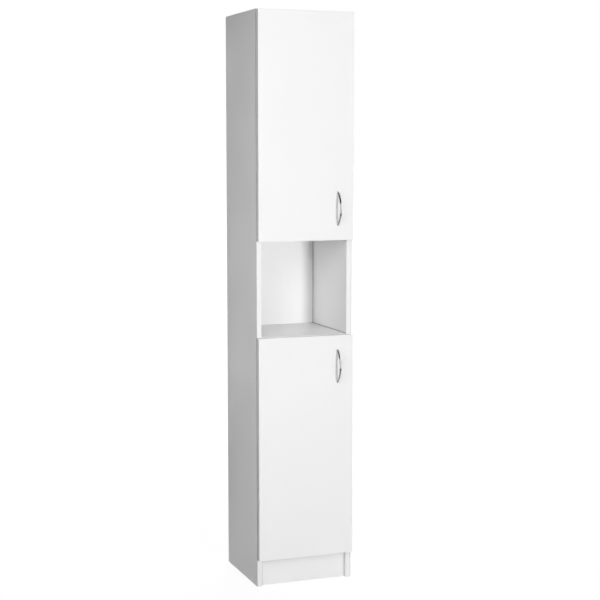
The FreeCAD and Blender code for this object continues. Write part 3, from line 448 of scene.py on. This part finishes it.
def outline_edge(edge, low, high):
    """True for an edge along the outline of a board's own box, where two of its faces meet."""
    touching = 0
    for axis in range(3):
        for plane in (low[axis], high[axis]):
            if all(abs(vertex.co[axis] - plane) < FACE_TOLERANCE for vertex in edge.verts):
                touching += 1
    return touching >= 2


def lathe(bm, profile, matrix, segments=RING):
    """Revolve (radius, height) points, from the axis round to the axis, about the local Z."""
    rings = []
    for radius, height in profile:
        if radius == 0.0:
            rings.append([bm.verts.new(matrix @ Vector((0.0, 0.0, height)))])
            continue
        turns = [2.0 * math.pi * step / segments for step in range(segments)]
        rings.append([bm.verts.new(matrix @ Vector((
            radius * math.cos(turn), radius * math.sin(turn), height))) for turn in turns])
    for lower, upper in zip(rings, rings[1:]):
        for step in range(segments):
            after = (step + 1) % segments
            outline = []
            for ring, place in ((lower, step), (lower, after), (upper, after), (upper, step)):
                vertex = ring[place] if len(ring) > 1 else ring[0]
                if vertex not in outline:
                    outline.append(vertex)
            bm.faces.new(outline)


def frame_at(origin, direction):
    """A local frame whose Z runs along a direction."""
    turn = Vector(direction).to_track_quat("Z", "Y").to_matrix().to_4x4()
    return Matrix.Translation(origin) @ turn


def dome(radius, height, rise, steps=6):
    """Points of a shallow dome from its rim, at a height, up to the axis."""
    points = []
    for step in range(1, steps + 1):
        turn = math.pi / 2.0 * step / steps
        points.append((radius * math.cos(turn) if step < steps else 0.0,
                       height + rise * math.sin(turn)))
    return points


# ---------------------------------------------------------------- finishes of the CAD pieces

DOOR_ROUNDING = 1.05 * MM
FACING = 0.5
FLAT = 0.999
NORMALS = {"-x": Vector((-1, 0, 0)), "+x": Vector((1, 0, 0)), "-y": Vector((0, -1, 0)),
           "+y": Vector((0, 1, 0)), "-z": Vector((0, 0, -1)), "+z": Vector((0, 0, 1))}


def dress(node, material):
    """One finish for a whole CAD piece."""
    mesh = NODES[node].data
    mesh.materials.clear()
    mesh.materials.append(material)
    for polygon in mesh.polygons:
        polygon.material_index = 0


def dress_board(node, faces, core):
    """A finish for each named outer face of a board; bores, rebates and the rest show the core."""
    mesh = NODES[node].data
    low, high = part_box(node)
    mesh.materials.clear()
    for material in [core] + list(faces.values()):
        mesh.materials.append(material)
    for polygon in mesh.polygons:
        polygon.material_index = 0
        for number, direction in enumerate(faces, start=1):
            axis = "xyz".index(direction[1])
            plane = (low if direction[0] == "-" else high)[axis]
            facing = polygon.normal.dot(NORMALS[direction]) > FACING
            if facing and abs(polygon.center[axis] - plane) < FACE_TOLERANCE:
                polygon.material_index = number


def dress_door(node):
    """Foil on both broad faces, edging round the sides and over the rounded edges."""
    mesh = NODES[node].data
    low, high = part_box(node)
    finishes = (CHIPBOARD, DOOR, BAND["x"], DOOR_BAND)
    mesh.materials.clear()
    for material in finishes:
        mesh.materials.append(material)
    for polygon in mesh.polygons:
        x, y, z = polygon.center
        near_side = min(x - low[0], high[0] - x) < DOOR_ROUNDING
        near_end = min(z - low[2], high[2] - z) < DOOR_ROUNDING
        broad = abs(polygon.normal.y) > FLAT
        outside = min(abs(y - low[1]), abs(y - high[1])) < FACE_TOLERANCE
        if broad and outside:
            finish = DOOR
        elif near_end:
            finish = BAND["x"]
        elif near_side:
            finish = DOOR_BAND
        else:
            finish = CHIPBOARD
        polygon.material_index = finishes.index(finish)


for panel, outer, inner in zip(SIDE_PANELS, ("-x", "+x"), ("+x", "-x")):
    dress_board(panel, {outer: BOARD, inner: INNER_BOARD, "-y": SIDE_BAND, "+z": BAND["y"]},
                CHIPBOARD)
for panel in CROSS_PANELS:
    dress_board(panel, {"-z": CROSS_BOARD, "+z": CROSS_BOARD, "-y": BAND["x"]}, CHIPBOARD)
for shelf in SHELVES:
    dress_board(shelf, {"-z": BOARD, "+z": BOARD, "-y": BAND["x"]}, CHIPBOARD)
for compartment in COMPARTMENTS:
    dress_door(f"{compartment}_door")
dress_board("plinth_board", {"-y": PLINTH, "+y": DOOR, "-z": BAND["x"]}, CHIPBOARD)
dress_board("back_panel", {"-y": BACK_WHITE, "+y": HARDBOARD}, HARDBOARD)
dress("cam_locks", ZINC)
for node in ["cam_bolts"] + BRACKETS + HINGE_PARTS:
    dress(node, NICKEL)

BOARD_ROUND = 0.5 * MM
DOOR_ROUND = 1.0 * MM
SHEET_ROUND = 0.2 * MM
BRACKET_ROUND = 0.4 * MM
HINGE_ROUND = 0.25 * MM

for board in SIDE_PANELS + list(CROSS_PANELS) + ["plinth_board"] + SHELVES:
    soften(board, BOARD_ROUND, edges=outline_edge, segments=3)
for compartment in COMPARTMENTS:
    soften(f"{compartment}_door", DOOR_ROUND, edges=outline_edge, segments=3)
soften("back_panel", SHEET_ROUND, edges=outline_edge)
soften("cam_locks", SHEET_ROUND)
for bracket in BRACKETS:
    soften(bracket, BRACKET_ROUND)
for part in HINGE_PARTS:
    soften(part, HINGE_ROUND)


# ---------------------------------------------------------------- turned fittings

HEAD_SHARE = 0.97
SHANK_SHARES = (0.1, 0.9)


class Turned:
    """Sizes of a round solid, read along its axis towards its head or visible end.

    The head is where it reaches HEAD_SHARE of its radius, and the shank is between SHANK_SHARES.
    """

    def __init__(self, points, direction):
        self.direction = Vector(direction)
        low, high = corners(points)
        centre = (low + high) / 2
        along = [point.dot(self.direction) for point in points]
        self.length = max(along) - min(along)
        offset = (max(along) + min(along)) / 2 - centre.dot(self.direction)
        self.top = centre + self.direction * (offset + self.length / 2)
        reach = [(point - centre - self.direction * (point - centre).dot(self.direction)).length
                 for point in points]
        self.radius = max(reach)
        wide = [place for place, radius in zip(along, reach) if radius > HEAD_SHARE * self.radius]
        self.head_top = max(along) - max(wide)
        self.head_low = max(along) - min(wide)
        thin, thick = (share * self.radius for share in SHANK_SHARES)
        narrow = [radius for radius in reach if thin < radius < thick]
        self.shank = max(narrow) if narrow else self.radius

    @property
    def matrix(self):
        """A frame at the visible end, with Z outwards."""
        return frame_at(self.top, self.direction)


def turned_group(node, material, directions, profile, segments=RING):
    """Revolve a profile for each solid of a CAD piece."""
    bm = bmesh.new()
    for points in solids(node):
        part = Turned(points, directions(points))
        lathe(bm, profile(part), part.matrix, segments)
    bmesh.ops.recalc_face_normals(bm, faces=bm.faces)
    return piece(f"{node}_finish", bm, [material], node)


# The top of a pan head from its rim inwards, in shares of its radius and of its edge.
PAN_CURVE = ((0.93, 0.9), (0.8, 0.45), (0.55, 0.12))


def pan_head(part):
    """A round head with a rounded edge over a plain shank with a blunt tip."""
    edge = min(0.5 * MM, part.head_low / 3)
    tip = 0.45 * part.shank
    taper = 1.6 * part.shank
    return ([(0.0, -part.length), (tip, -part.length),
             (part.shank, -part.length + taper), (part.shank, -part.head_low),
             (part.radius - edge / 2, -part.head_low), (part.radius, -part.head_low + edge / 2)]
            + [(part.radius * across, -edge * down) for across, down in PAN_CURVE]
            + [(0.0, 0.0)])


def pin_with_collar(part):
    """A shelf pin: a rounded visible end, a collar at the panel and a plain tail."""
    nose = part.shank * 0.35
    edge = 0.2 * MM
    return [(0.0, -part.length), (part.shank * 0.7, -part.length),
            (part.shank, -part.length + nose), (part.shank, -part.head_low),
            (part.radius - edge, -part.head_low), (part.radius, -part.head_low + edge),
            (part.radius, -part.head_top - edge), (part.radius - edge, -part.head_top),
            (part.shank, -part.head_top), (part.shank, -nose), (part.shank * 0.9, -nose * 0.35),
            (part.shank * 0.6, -nose * 0.05), (0.0, 0.0)]


def chamfered(part, edge):
    """A plain pin with a chamfer at both ends."""
    return [(0.0, -part.length), (part.radius - edge, -part.length),
            (part.radius, -part.length + edge), (part.radius, -edge),
            (part.radius - edge, 0.0), (0.0, 0.0)]


def rivet(part):
    """A hinge pin."""
    return chamfered(part, 0.3 * MM)


def nail_profile(part):
    """A flat nail head that falls away a little towards its rim."""
    return [(0.0, -part.length), (part.shank, -part.length + 2.0 * part.shank),
            (part.shank, -part.head_low), (part.radius, -part.head_low),
            (part.radius, -part.head_low * 0.45), (part.radius * 0.85, -part.head_low * 0.12),
            (0.0, 0.0)]


def cap_profile(part):
    """A thin cap with a shallow dome."""
    rim = part.length * 0.45
    step_in = 0.15 * MM
    return ([(0.0, -part.length), (part.radius, -part.length), (part.radius, -part.length + rim)]
            + dome(part.radius - step_in, -part.length + rim, part.length - rim))


def bumper_profile(part):
    """A soft self-adhesive dot with a domed face."""
    rise = part.length * 0.75
    return ([(0.0, -part.length), (part.radius, -part.length), (part.radius, -rise)]
            + dome(part.radius, -rise, rise, steps=8))


def glide_profile(part):
    """A nail-on glide: a spike in the board and a disc with a rounded underside."""
    edge, round_width = 0.3 * MM, 1.2 * MM
    return [(0.0, -part.length), (part.shank, -part.length + 2.5 * part.shank),
            (part.shank, -part.head_low), (part.radius, -part.head_low),
            (part.radius, -part.head_low * 0.4), (part.radius - edge, -edge),
            (part.radius - round_width, 0.0), (0.0, 0.0)]


def towards(axis):
    """The same direction for every solid of a group."""
    return lambda points: axis


def from_side(points):
    """Away from the nearer side panel, along X."""
    low, high = corners(points)
    return (1, 0, 0) if (low + high)[0] < 0 else (-1, 0, 0)


def cap_side(points):
    """Caps on the niche ceiling panel face up, the others face down."""
    low, _ = corners(points)
    over = Vector(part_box("niche_ceiling_panel")[1]).z
    return (0, 0, 1) if abs(low.z - over) < 0.1 * MM else (0, 0, -1)


turned_group("shelf_pins", NICKEL, from_side, pin_with_collar)
turned_group("back_panel_nails", NICKEL, towards((0, 1, 0)), nail_profile, segments=20)
turned_group("cam_cover_caps", CAP_PLASTIC, cap_side, cap_profile)
turned_group("floor_glides", GLIDE_PLASTIC, towards((0, 0, -1)), glide_profile)
turned_group("hinge_arm_pins", NICKEL, towards((0, 0, 1)), rivet, segments=24)
for compartment in COMPARTMENTS:
    turned_group(f"{compartment}_hinge_cup_pins", NICKEL, towards((0, 0, 1)), rivet, segments=24)
    turned_group(f"{compartment}_door_bumpers", BUMPER_RUBBER, towards((0, 1, 0)), bumper_profile)


# ---------------------------------------------------------------- screws with a cross recess

# The cross recess, in shares of the head's radius, and of its own size at its bottom.
CROSS_WIDTH = 0.28
CROSS_REACH = 0.6
CROSS_DEPTH = 0.4
CROSS_TAPER = 0.45


def cross_cutter(width, reach, depth, matrix):
    """A tapered cross that is sunk into a screw's head."""
    bm = bmesh.new()
    for turn in (0.0, math.pi / 2.0):
        block = bmesh.ops.create_cube(bm, size=1.0, matrix=matrix @ Matrix.Rotation(turn, 4, "Z")
                                      @ Matrix.Diagonal((2.0 * reach, width, 2.0 * depth, 1.0)))
        low_end = [vertex for vertex in block["verts"]
                   if (matrix.inverted() @ vertex.co).z < 0.0]
        for vertex in low_end:
            local = matrix.inverted() @ vertex.co
            vertex.co = matrix @ Vector((local.x * CROSS_TAPER, local.y * CROSS_TAPER, local.z))
    mesh = bpy.data.meshes.new("cutter")
    bm.to_mesh(mesh)
    bm.free()
    return mesh


def recessed(bm, width, reach, depth, matrices):
    """Cut a cross recess at each frame into closed solids, and return the new bmesh."""
    mesh = bpy.data.meshes.new("screws")
    bm.to_mesh(mesh)
    bm.free()
    body = bpy.data.objects.new("screws", mesh)
    bpy.context.collection.objects.link(body)
    cutters = bmesh.new()
    for matrix in matrices:
        cutter = cross_cutter(width, reach, depth, matrix)
        cutters.from_mesh(cutter)
        bpy.data.meshes.remove(cutter)
    tool_mesh = bpy.data.meshes.new("cutters")
    cutters.to_mesh(tool_mesh)
    cutters.free()
    tool = bpy.data.objects.new("cutters", tool_mesh)
    bpy.context.collection.objects.link(tool)
    modifier = body.modifiers.new("recess", "BOOLEAN")
    modifier.operation = "DIFFERENCE"
    modifier.solver = "EXACT"
    modifier.use_self = True
    modifier.object = tool
    bpy.context.view_layer.update()
    evaluated = body.evaluated_get(bpy.context.evaluated_depsgraph_get())
    result = bmesh.new()
    result.from_mesh(evaluated.to_mesh())
    evaluated.to_mesh_clear()
    for item in (body, tool):
        data = item.data
        bpy.data.objects.remove(item)
        bpy.data.meshes.remove(data)
    return result


def screw_group(node, direction, profile):
    """Revolve each screw of a group and cut its cross recess."""
    bm = bmesh.new()
    frames = []
    for points in solids(node):
        part = Turned(points, direction)
        frames.append(part.matrix)
        lathe(bm, profile(part), part.matrix, segments=32)
    bmesh.ops.recalc_face_normals(bm, faces=bm.faces)
    result = recessed(bm, CROSS_WIDTH * part.radius, CROSS_REACH * part.radius,
                      CROSS_DEPTH * part.radius, frames)
    return piece(f"{node}_finish", result, [NICKEL], node)


def set_screw(part):
    """A headless screw."""
    return chamfered(part, 0.35 * MM)


screw_group("wall_bracket_screws", (0, 0, -1), pan_head)
screw_group("hinge_plate_screws", (1, 0, 0), pan_head)
screw_group("hinge_arm_screws", (1, 0, 0), pan_head)
screw_group("hinge_adjusting_screws", (1, 0, 0), set_screw)
for compartment in COMPARTMENTS:
    screw_group(f"{compartment}_hinge_cup_screws", (0, 1, 0), pan_head)
    screw_group(f"{compartment}_handle_screws", (0, 1, 0), pan_head)


# ---------------------------------------------------------------- dowels and handles


def fluted_dowels():
    """Beech dowels with pressed flutes and chamfered ends."""
    flutes, ring = 16, 64
    chamfer, groove = 1.0 * MM, 0.25 * MM
    bm = bmesh.new()
    for points in solids("dowels"):
        part = Turned(points, (1, 0, 0))
        rows = []
        for radius, height in ((part.radius - chamfer, -part.length),
                               (part.radius, -part.length + chamfer),
                               (part.radius, -chamfer), (part.radius - chamfer, 0.0)):
            row = []
            for step in range(ring):
                turn = 2.0 * math.pi * step / ring
                depth = groove * (0.5 - 0.5 * math.cos(flutes * turn))
                row.append(bm.verts.new(part.matrix @ Vector((
                    (radius - depth) * math.cos(turn), (radius - depth) * math.sin(turn),
                    height))))
            rows.append(row)
        for lower, upper in zip(rows, rows[1:]):
            for step in range(ring):
                after = (step + 1) % ring
                bm.faces.new((lower[step], lower[after], upper[after], upper[step]))
        bm.faces.new(list(reversed(rows[0])))
        bm.faces.new(rows[-1])
    bmesh.ops.recalc_face_normals(bm, faces=bm.faces)
    piece("dowels_finish", bm, [BEECH], "dowels")


def smooth_step(value):
    """0 to 1 with a soft start and end."""
    value = min(max(value, 0.0), 1.0)
    return value * value * (3.0 - 2.0 * value)


# Half sizes of the bow's section at its middle and ends, the shape of its feet, and the number
# of points along it and around it.
BOW_MIDDLE = 2.75 * MM
BOW_WIDE = 3.2 * MM
BOW_END = 2.5 * MM
FOOT_RADIUS = 3.2 * MM
FOOT_FLARE = 2.6 * MM
BEND_DEPTH = 9.0 * MM
BOW_STEPS = 96
BOW_RING = 32


def bow_path(half_spacing, rise):
    """(depth, height) points: square off the door at each foot, then along a circular bow."""
    radius = (half_spacing ** 2 + rise ** 2) / (2.0 * rise)
    opening = math.asin(half_spacing / radius)
    path = []
    for step in range(BOW_STEPS + 1):
        turn = opening * (2.0 * step / BOW_STEPS - 1.0)
        depth = rise - radius * (1.0 - math.cos(turn))
        inward = half_spacing - abs(radius * math.sin(turn))
        inward *= smooth_step(depth / BEND_DEPTH)
        path.append((max(depth, 0.0), math.copysign(half_spacing - inward, turn)))
    return path


def bow_handle(compartment):
    """One swept bar: it leaves the door square on round feet and runs into a circular bow."""
    node = f"{compartment}_handle"
    low, high = (Vector(corner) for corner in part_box(node))
    door_front = high.y
    rise = high.y - low.y - BOW_MIDDLE
    centre_x, centre_z = (low.x + high.x) / 2, (low.z + high.z) / 2
    path = bow_path((high.z - low.z) / 2 - FOOT_RADIUS, rise)
    bm = bmesh.new()
    rings = []
    for step, (depth, height) in enumerate(path):
        before, after = path[max(step - 1, 0)], path[min(step + 1, BOW_STEPS)]
        along = Vector((0.0, before[0] - after[0], after[1] - before[1]))
        if step in (0, BOW_STEPS):
            along = Vector((0.0, -1.0 if step == 0 else 1.0, 0.0))
        along.normalize()
        outward = along.cross(Vector((1.0, 0.0, 0.0)))
        towards_middle = smooth_step(depth / rise)
        foot = (FOOT_RADIUS - BOW_END) * (1.0 - smooth_step(depth / FOOT_FLARE))
        bar = BOW_END + (BOW_MIDDLE - BOW_END) * towards_middle + foot
        half_width = BOW_END + (BOW_WIDE - BOW_END) * towards_middle + foot
        centre = Vector((centre_x, door_front - depth, centre_z + height))
        turns = [2.0 * math.pi * corner / BOW_RING for corner in range(BOW_RING)]
        rings.append([bm.verts.new(
            centre + half_width * math.cos(turn) * Vector((1.0, 0.0, 0.0))
            + bar * math.sin(turn) * outward) for turn in turns])
    for first, second in zip(rings, rings[1:]):
        for corner in range(BOW_RING):
            after = (corner + 1) % BOW_RING
            bm.faces.new((first[corner], first[after], second[after], second[corner]))
    bm.faces.new(list(reversed(rings[0])))
    bm.faces.new(rings[-1])
    bmesh.ops.recalc_face_normals(bm, faces=bm.faces)
    piece(f"{node}_bow", bm, [CHROME], node)


fluted_dowels()
for compartment in COMPARTMENTS:
    bow_handle(compartment)


# ---------------------------------------------------------------- studio

CAMERA_PLACE = Vector((-1.475, -4.043, 1.307))
CAMERA_YAW = 20.42
CAMERA_PITCH = -6.13
CAMERA_LENS = 85.6

FLOOR_SIZE = 60.0
FLOOR_GREY = 0.72
FLOOR_WHITE = 1.08
WHITE_FROM, WHITE_TO = 0.5, 2.2
WHITE_NEAR, WHITE_FAR = 0.86, 1.0
CARD_ROUGHNESS = 0.9


def studio_floor():
    """A pale floor that the camera sees as white, with a faint shadow of the cabinet.

    WHITE_NEAR of what the camera sees is plain white up to WHITE_FROM metres from the cabinet's
    middle, and WHITE_FAR from WHITE_TO on.
    """
    bpy.ops.mesh.primitive_plane_add(size=FLOOR_SIZE)
    floor = bpy.context.object
    floor.name = "studio_floor"
    material = bpy.data.materials.new("studio_floor")
    material.use_nodes = True
    tree = material.node_tree
    tree.nodes.clear()
    output = tree.nodes.new("ShaderNodeOutputMaterial")
    paint = tree.nodes.new("ShaderNodeBsdfDiffuse")
    paint.inputs["Color"].default_value = (*grey(FLOOR_GREY), 1.0)
    white = tree.nodes.new("ShaderNodeEmission")
    white.inputs["Strength"].default_value = FLOOR_WHITE
    seen = tree.nodes.new("ShaderNodeMixShader")
    place = tree.nodes.new("ShaderNodeTexCoord")
    distance = tree.nodes.new("ShaderNodeVectorMath")
    distance.operation = "LENGTH"
    share = tree.nodes.new("ShaderNodeMapRange")
    share.interpolation_type = "SMOOTHSTEP"
    for socket, value in (("From Min", WHITE_FROM), ("From Max", WHITE_TO),
                          ("To Min", WHITE_NEAR), ("To Max", WHITE_FAR)):
        share.inputs[socket].default_value = value
    ray = tree.nodes.new("ShaderNodeLightPath")
    mix = tree.nodes.new("ShaderNodeMixShader")
    link = tree.links.new
    link(place.outputs["Object"], distance.inputs[0])
    link(distance.outputs["Value"], share.inputs["Value"])
    link(share.outputs["Result"], seen.inputs["Fac"])
    link(paint.outputs["BSDF"], seen.inputs[1])
    link(white.outputs["Emission"], seen.inputs[2])
    link(background_rays(tree, ray), mix.inputs["Fac"])
    link(paint.outputs["BSDF"], mix.inputs[1])
    link(seen.outputs["Shader"], mix.inputs[2])
    link(mix.outputs["Shader"], output.inputs["Surface"])
    floor.data.materials.append(material)


def background_rays(tree, ray):
    """1 for camera, glossy and transmission rays, which see the plain background."""
    total = None
    for name in ("Is Camera Ray", "Is Glossy Ray", "Is Transmission Ray"):
        if total is None:
            total = ray.outputs[name]
            continue
        larger = tree.nodes.new("ShaderNodeMath")
        larger.operation = "MAXIMUM"
        tree.links.new(total, larger.inputs[0])
        tree.links.new(ray.outputs[name], larger.inputs[1])
        total = larger.outputs["Value"]
    return total


def studio_world(fill):
    """A white background, and an even fill light of the given strength."""
    world = bpy.data.worlds.new("studio")
    world.use_nodes = True
    bpy.context.scene.world = world
    tree = world.node_tree
    tree.nodes.clear()
    output = tree.nodes.new("ShaderNodeOutputWorld")
    shown = tree.nodes.new("ShaderNodeBackground")
    shown.inputs["Strength"].default_value = 1.0
    shown.inputs["Color"].default_value = (1.0, 1.0, 1.0, 1.0)
    light = tree.nodes.new("ShaderNodeBackground")
    light.inputs["Strength"].default_value = fill
    light.inputs["Color"].default_value = (1.0, 1.0, 1.0, 1.0)
    ray = tree.nodes.new("ShaderNodeLightPath")
    mix = tree.nodes.new("ShaderNodeMixShader")
    tree.links.new(background_rays(tree, ray), mix.inputs["Fac"])
    tree.links.new(light.outputs["Background"], mix.inputs[1])
    tree.links.new(shown.outputs["Background"], mix.inputs[2])
    tree.links.new(mix.outputs["Shader"], output.inputs["Surface"])


def area_light(name, place, target, size, power, mirrored=True):
    """A studio light; mirrored says if it shows as a highlight in the glossy surfaces."""
    data = bpy.data.lights.new(name, "AREA")
    data.shape = "RECTANGLE"
    data.size, data.size_y = size
    data.energy = power
    lamp = bpy.data.objects.new(name, data)
    lamp.location = place
    lamp.rotation_euler = (Vector(target) - Vector(place)).to_track_quat("-Z", "Y").to_euler()
    lamp.visible_glossy = mirrored
    bpy.context.collection.objects.link(lamp)


def card(name, low, high, height, level):
    """A level grey card, seen only as a mirror image; the camera and the light pass through it."""
    bm = bmesh.new()
    outline = ((low[0], low[1]), (high[0], low[1]), (high[0], high[1]), (low[0], high[1]))
    bm.faces.new([bm.verts.new((x, y, height)) for x, y in outline])
    mesh = bpy.data.meshes.new(name)
    bm.to_mesh(mesh)
    bm.free()
    material = bpy.data.materials.new(name)
    material.use_nodes = True
    shader = material.node_tree.nodes["Principled BSDF"]
    shader.inputs["Base Color"].default_value = (*grey(level), 1.0)
    shader.inputs["Roughness"].default_value = CARD_ROUGHNESS
    mesh.materials.append(material)
    item = bpy.data.objects.new(name, mesh)
    bpy.context.collection.objects.link(item)
    for ray in ("camera", "diffuse", "shadow", "transmission", "volume_scatter"):
        setattr(item, f"visible_{ray}", False)


def studio_camera():
    """The photograph's viewpoint."""
    data = bpy.data.cameras.new("camera")
    data.lens = CAMERA_LENS
    camera = bpy.data.objects.new("camera", data)
    camera.location = CAMERA_PLACE
    camera.rotation_euler = (math.radians(90.0 + CAMERA_PITCH), 0.0, math.radians(-CAMERA_YAW))
    bpy.context.collection.objects.link(camera)
    bpy.context.scene.camera = camera


FILL_LEVEL = 0.05
UPPER = (0.0, 0.0, 1.0)
MIDDLE = (0.0, 0.0, 0.9)
MIDDLE_REAR = (0.0, 0.1, 0.9)
FOOT_REAR = (0.0, 0.4, 0.0)
OVERHEAD = 1.9
NEAR_FLOOR = 0.006
BLACK, MID_GREY, PALE_GREY = 0.015, 0.6, 0.66

studio_floor()
studio_world(FILL_LEVEL)
area_light("front_key", (0.68, -6.0, 1.15), MIDDLE, (0.7, 0.4), 161.0, mirrored=False)
area_light("front_softbox", (-1.5, -4.2, 2.6), MIDDLE, (2.0, 2.0), 25.0, mirrored=False)
area_light("left_fill", (-2.1, -2.3, 2.0), UPPER, (1.6, 1.6), 33.0, mirrored=False)
area_light("high_fill", (0.4, -3.3, 5.8), MIDDLE, (1.5, 1.5), 32.0)
area_light("overhead_light", (0.0, 0.9, 3.2), FOOT_REAR, (0.3, 1.6), 14.0)
area_light("right_fill", (2.6, 0.6, 1.8), MIDDLE_REAR, (1.6, 1.6), 28.0)
area_light("rear_fill", (1.6, 3.2, 2.0), MIDDLE_REAR, (2.0, 2.0), 60.0)
card("overhead_card", (-3.0, -1.5), (3.0, 1.5), OVERHEAD, BLACK)
card("front_floor_card", (-3.0, -2.2), (5.0, -1.4), NEAR_FLOOR, BLACK)
card("near_floor_card", (-1.5, -1.4), (5.0, -0.2), NEAR_FLOOR, MID_GREY)
card("right_floor_card", (0.35, -0.2), (5.0, 0.6), NEAR_FLOOR, MID_GREY)
card("rear_floor_card", (-3.2, -0.2), (-0.17, 2.2), NEAR_FLOOR, PALE_GREY)
studio_camera()
bpy.context.scene.view_settings.view_transform = "Standard"
